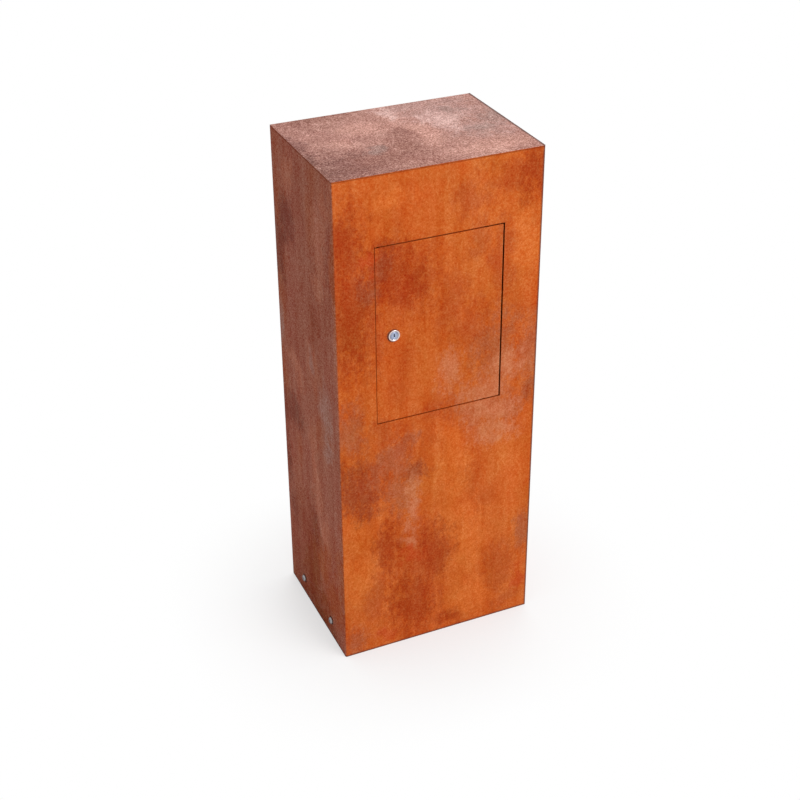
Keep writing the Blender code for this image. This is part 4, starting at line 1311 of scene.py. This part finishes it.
class MAILBOX_OT_stage(bpy.types.Operator):
    """Lays the pale floor and sets the camera, the soft lamps and the even sky"""

    bl_idname = "rusty_mailbox.stage"
    bl_label = "Stage"

    def execute(self, context):
        stage = context.scene.rusty_mailbox.stage
        self.add_camera(context, stage)
        self.add_floor(stage)
        add_lamp("key_lamp", KEY_DIRECTION, stage.key)
        add_lamp("back_lamp", BACK_DIRECTION, stage.back)
        self.add_sky(context, stage)
        context.scene.view_settings.view_transform = "Standard"
        return {"FINISHED"}

    def add_camera(self, context, stage):
        data = bpy.data.cameras.new("camera")
        data.sensor_width = 36.0
        data.lens = stage.lens
        data.shift_y = stage.shift
        camera = linked("camera", data)
        azimuth, elevation = stage.azimuth, stage.elevation
        level = math.cos(elevation)
        back = Vector((math.sin(azimuth) * level, -math.cos(azimuth) * level, 0.0))
        back.z = math.sin(elevation)
        right = (-back).cross(Vector((0, 0, 1))).normalized()
        up = right.cross(-back)
        turned_right = right * math.cos(stage.roll) + up * math.sin(stage.roll)
        turned_up = up * math.cos(stage.roll) - right * math.sin(stage.roll)
        axes = Matrix((turned_right, turned_up, back)).transposed()
        place = Vector(stage.aim) + back * stage.distance
        camera.matrix_world = Matrix.Translation(place) @ axes.to_4x4()
        context.scene.camera = camera

    def add_floor(self, stage):
        bm = bmesh.new()
        bmesh.ops.create_grid(bm, x_segments=1, y_segments=1, size=FLOOR_SIZE)
        floor = linked("floor", mesh_from(bm, "floor"))
        material = bpy.data.materials.new("pale_floor")
        nodes = Nodes(material)
        shader = nodes.tree.nodes["Principled BSDF"]
        shader.inputs["Base Color"].default_value = FLOOR_COLOUR
        shader.inputs["Roughness"].default_value = 0.9
        shader.inputs["Specular IOR Level"].default_value = 0.0
        # Near the mailbox ambient occlusion lets the floor's white down, so that it
        # darkens there whatever the light: painted contact shade over the real shadow
        inputs = {"Distance": stage.painted_shade_reach}
        openness = nodes.add("ShaderNodeAmbientOcclusion", inputs).outputs["AO"]
        inputs = {"Value": openness, "To Min": stage.least_white}
        whiteness = nodes.add("ShaderNodeMapRange", inputs).outputs["Result"]
        share = nodes.product(picture_ray(nodes), whiteness)
        white = nodes.add("ShaderNodeEmission").outputs["Emission"]
        inputs = {"Fac": share, 1: shader.outputs["BSDF"], 2: white}
        mix = nodes.add("ShaderNodeMixShader", inputs).outputs["Shader"]
        nodes.feed(nodes.tree.nodes["Material Output"].inputs["Surface"], mix)
        floor.data.materials.append(material)

    def add_sky(self, context, stage):
        world = bpy.data.worlds.new("sky")
        nodes = Nodes(world)
        background = nodes.tree.nodes["Background"].inputs
        background["Color"].default_value = (1.0, 1.0, 1.0, 1.0)
        inputs = {"Value": picture_ray(nodes), "To Min": stage.sky}
        strength = nodes.add("ShaderNodeMapRange", inputs).outputs["Result"]
        nodes.feed(background["Strength"], strength)
        context.scene.world = world


class MAILBOX_PT_sidebar(bpy.types.Panel):
    """The mailbox's pieces and settings"""

    bl_idname = "MAILBOX_PT_sidebar"
    bl_label = "Rusty Mailbox"
    bl_space_type = "VIEW_3D"
    bl_region_type = "UI"
    bl_category = "Mailbox"

    def draw(self, context):
        settings = context.scene.rusty_mailbox
        for operator in OPERATORS:
            self.layout.operator(operator.bl_idname)
        for title in settings.__annotations__:
            group = getattr(settings, title)
            box = self.layout.box()
            box.label(text=title.capitalize())
            for name in group.__annotations__:
                box.prop(group, name)


OPERATORS = (
    MAILBOX_OT_stage,
    MAILBOX_OT_column,
    MAILBOX_OT_rear_panel,
    MAILBOX_OT_top_plate,
    MAILBOX_OT_door,
    MAILBOX_OT_lock_barrel,
    MAILBOX_OT_lock_plug,
    MAILBOX_OT_foot_screws,
    MAILBOX_OT_inner_pieces,
    MAILBOX_OT_hardware,
)
CLASSES = (
    SheetSettings,
    FrontSettings,
    SideSettings,
    TopSettings,
    RustSettings,
    MetalSettings,
    LockSettings,
    FastenerSettings,
    StageSettings,
    MailboxSettings,
    *OPERATORS,
    MAILBOX_PT_sidebar,
)


def register():
    """Adds the classes and the scene's settings."""
    for cls in CLASSES:
        bpy.utils.register_class(cls)
    bpy.types.Scene.rusty_mailbox = PointerProperty(type=MailboxSettings)


def unregister():
    """Takes the settings and the classes away again."""
    del bpy.types.Scene.rusty_mailbox
    for cls in reversed(CLASSES):
        bpy.utils.unregister_class(cls)


def main():
    """Dresses the mailbox."""
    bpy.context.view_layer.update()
    register()
    bpy.ops.rusty_mailbox.stage()
    bpy.ops.rusty_mailbox.column()
    bpy.ops.rusty_mailbox.rear_panel()
    bpy.ops.rusty_mailbox.top_plate()
    bpy.ops.rusty_mailbox.door()
    bpy.ops.rusty_mailbox.lock_barrel()
    bpy.ops.rusty_mailbox.lock_plug()
    bpy.ops.rusty_mailbox.foot_screws()
    bpy.ops.rusty_mailbox.inner_pieces()
    bpy.ops.rusty_mailbox.hardware()


if __name__ == "__main__":
    main()
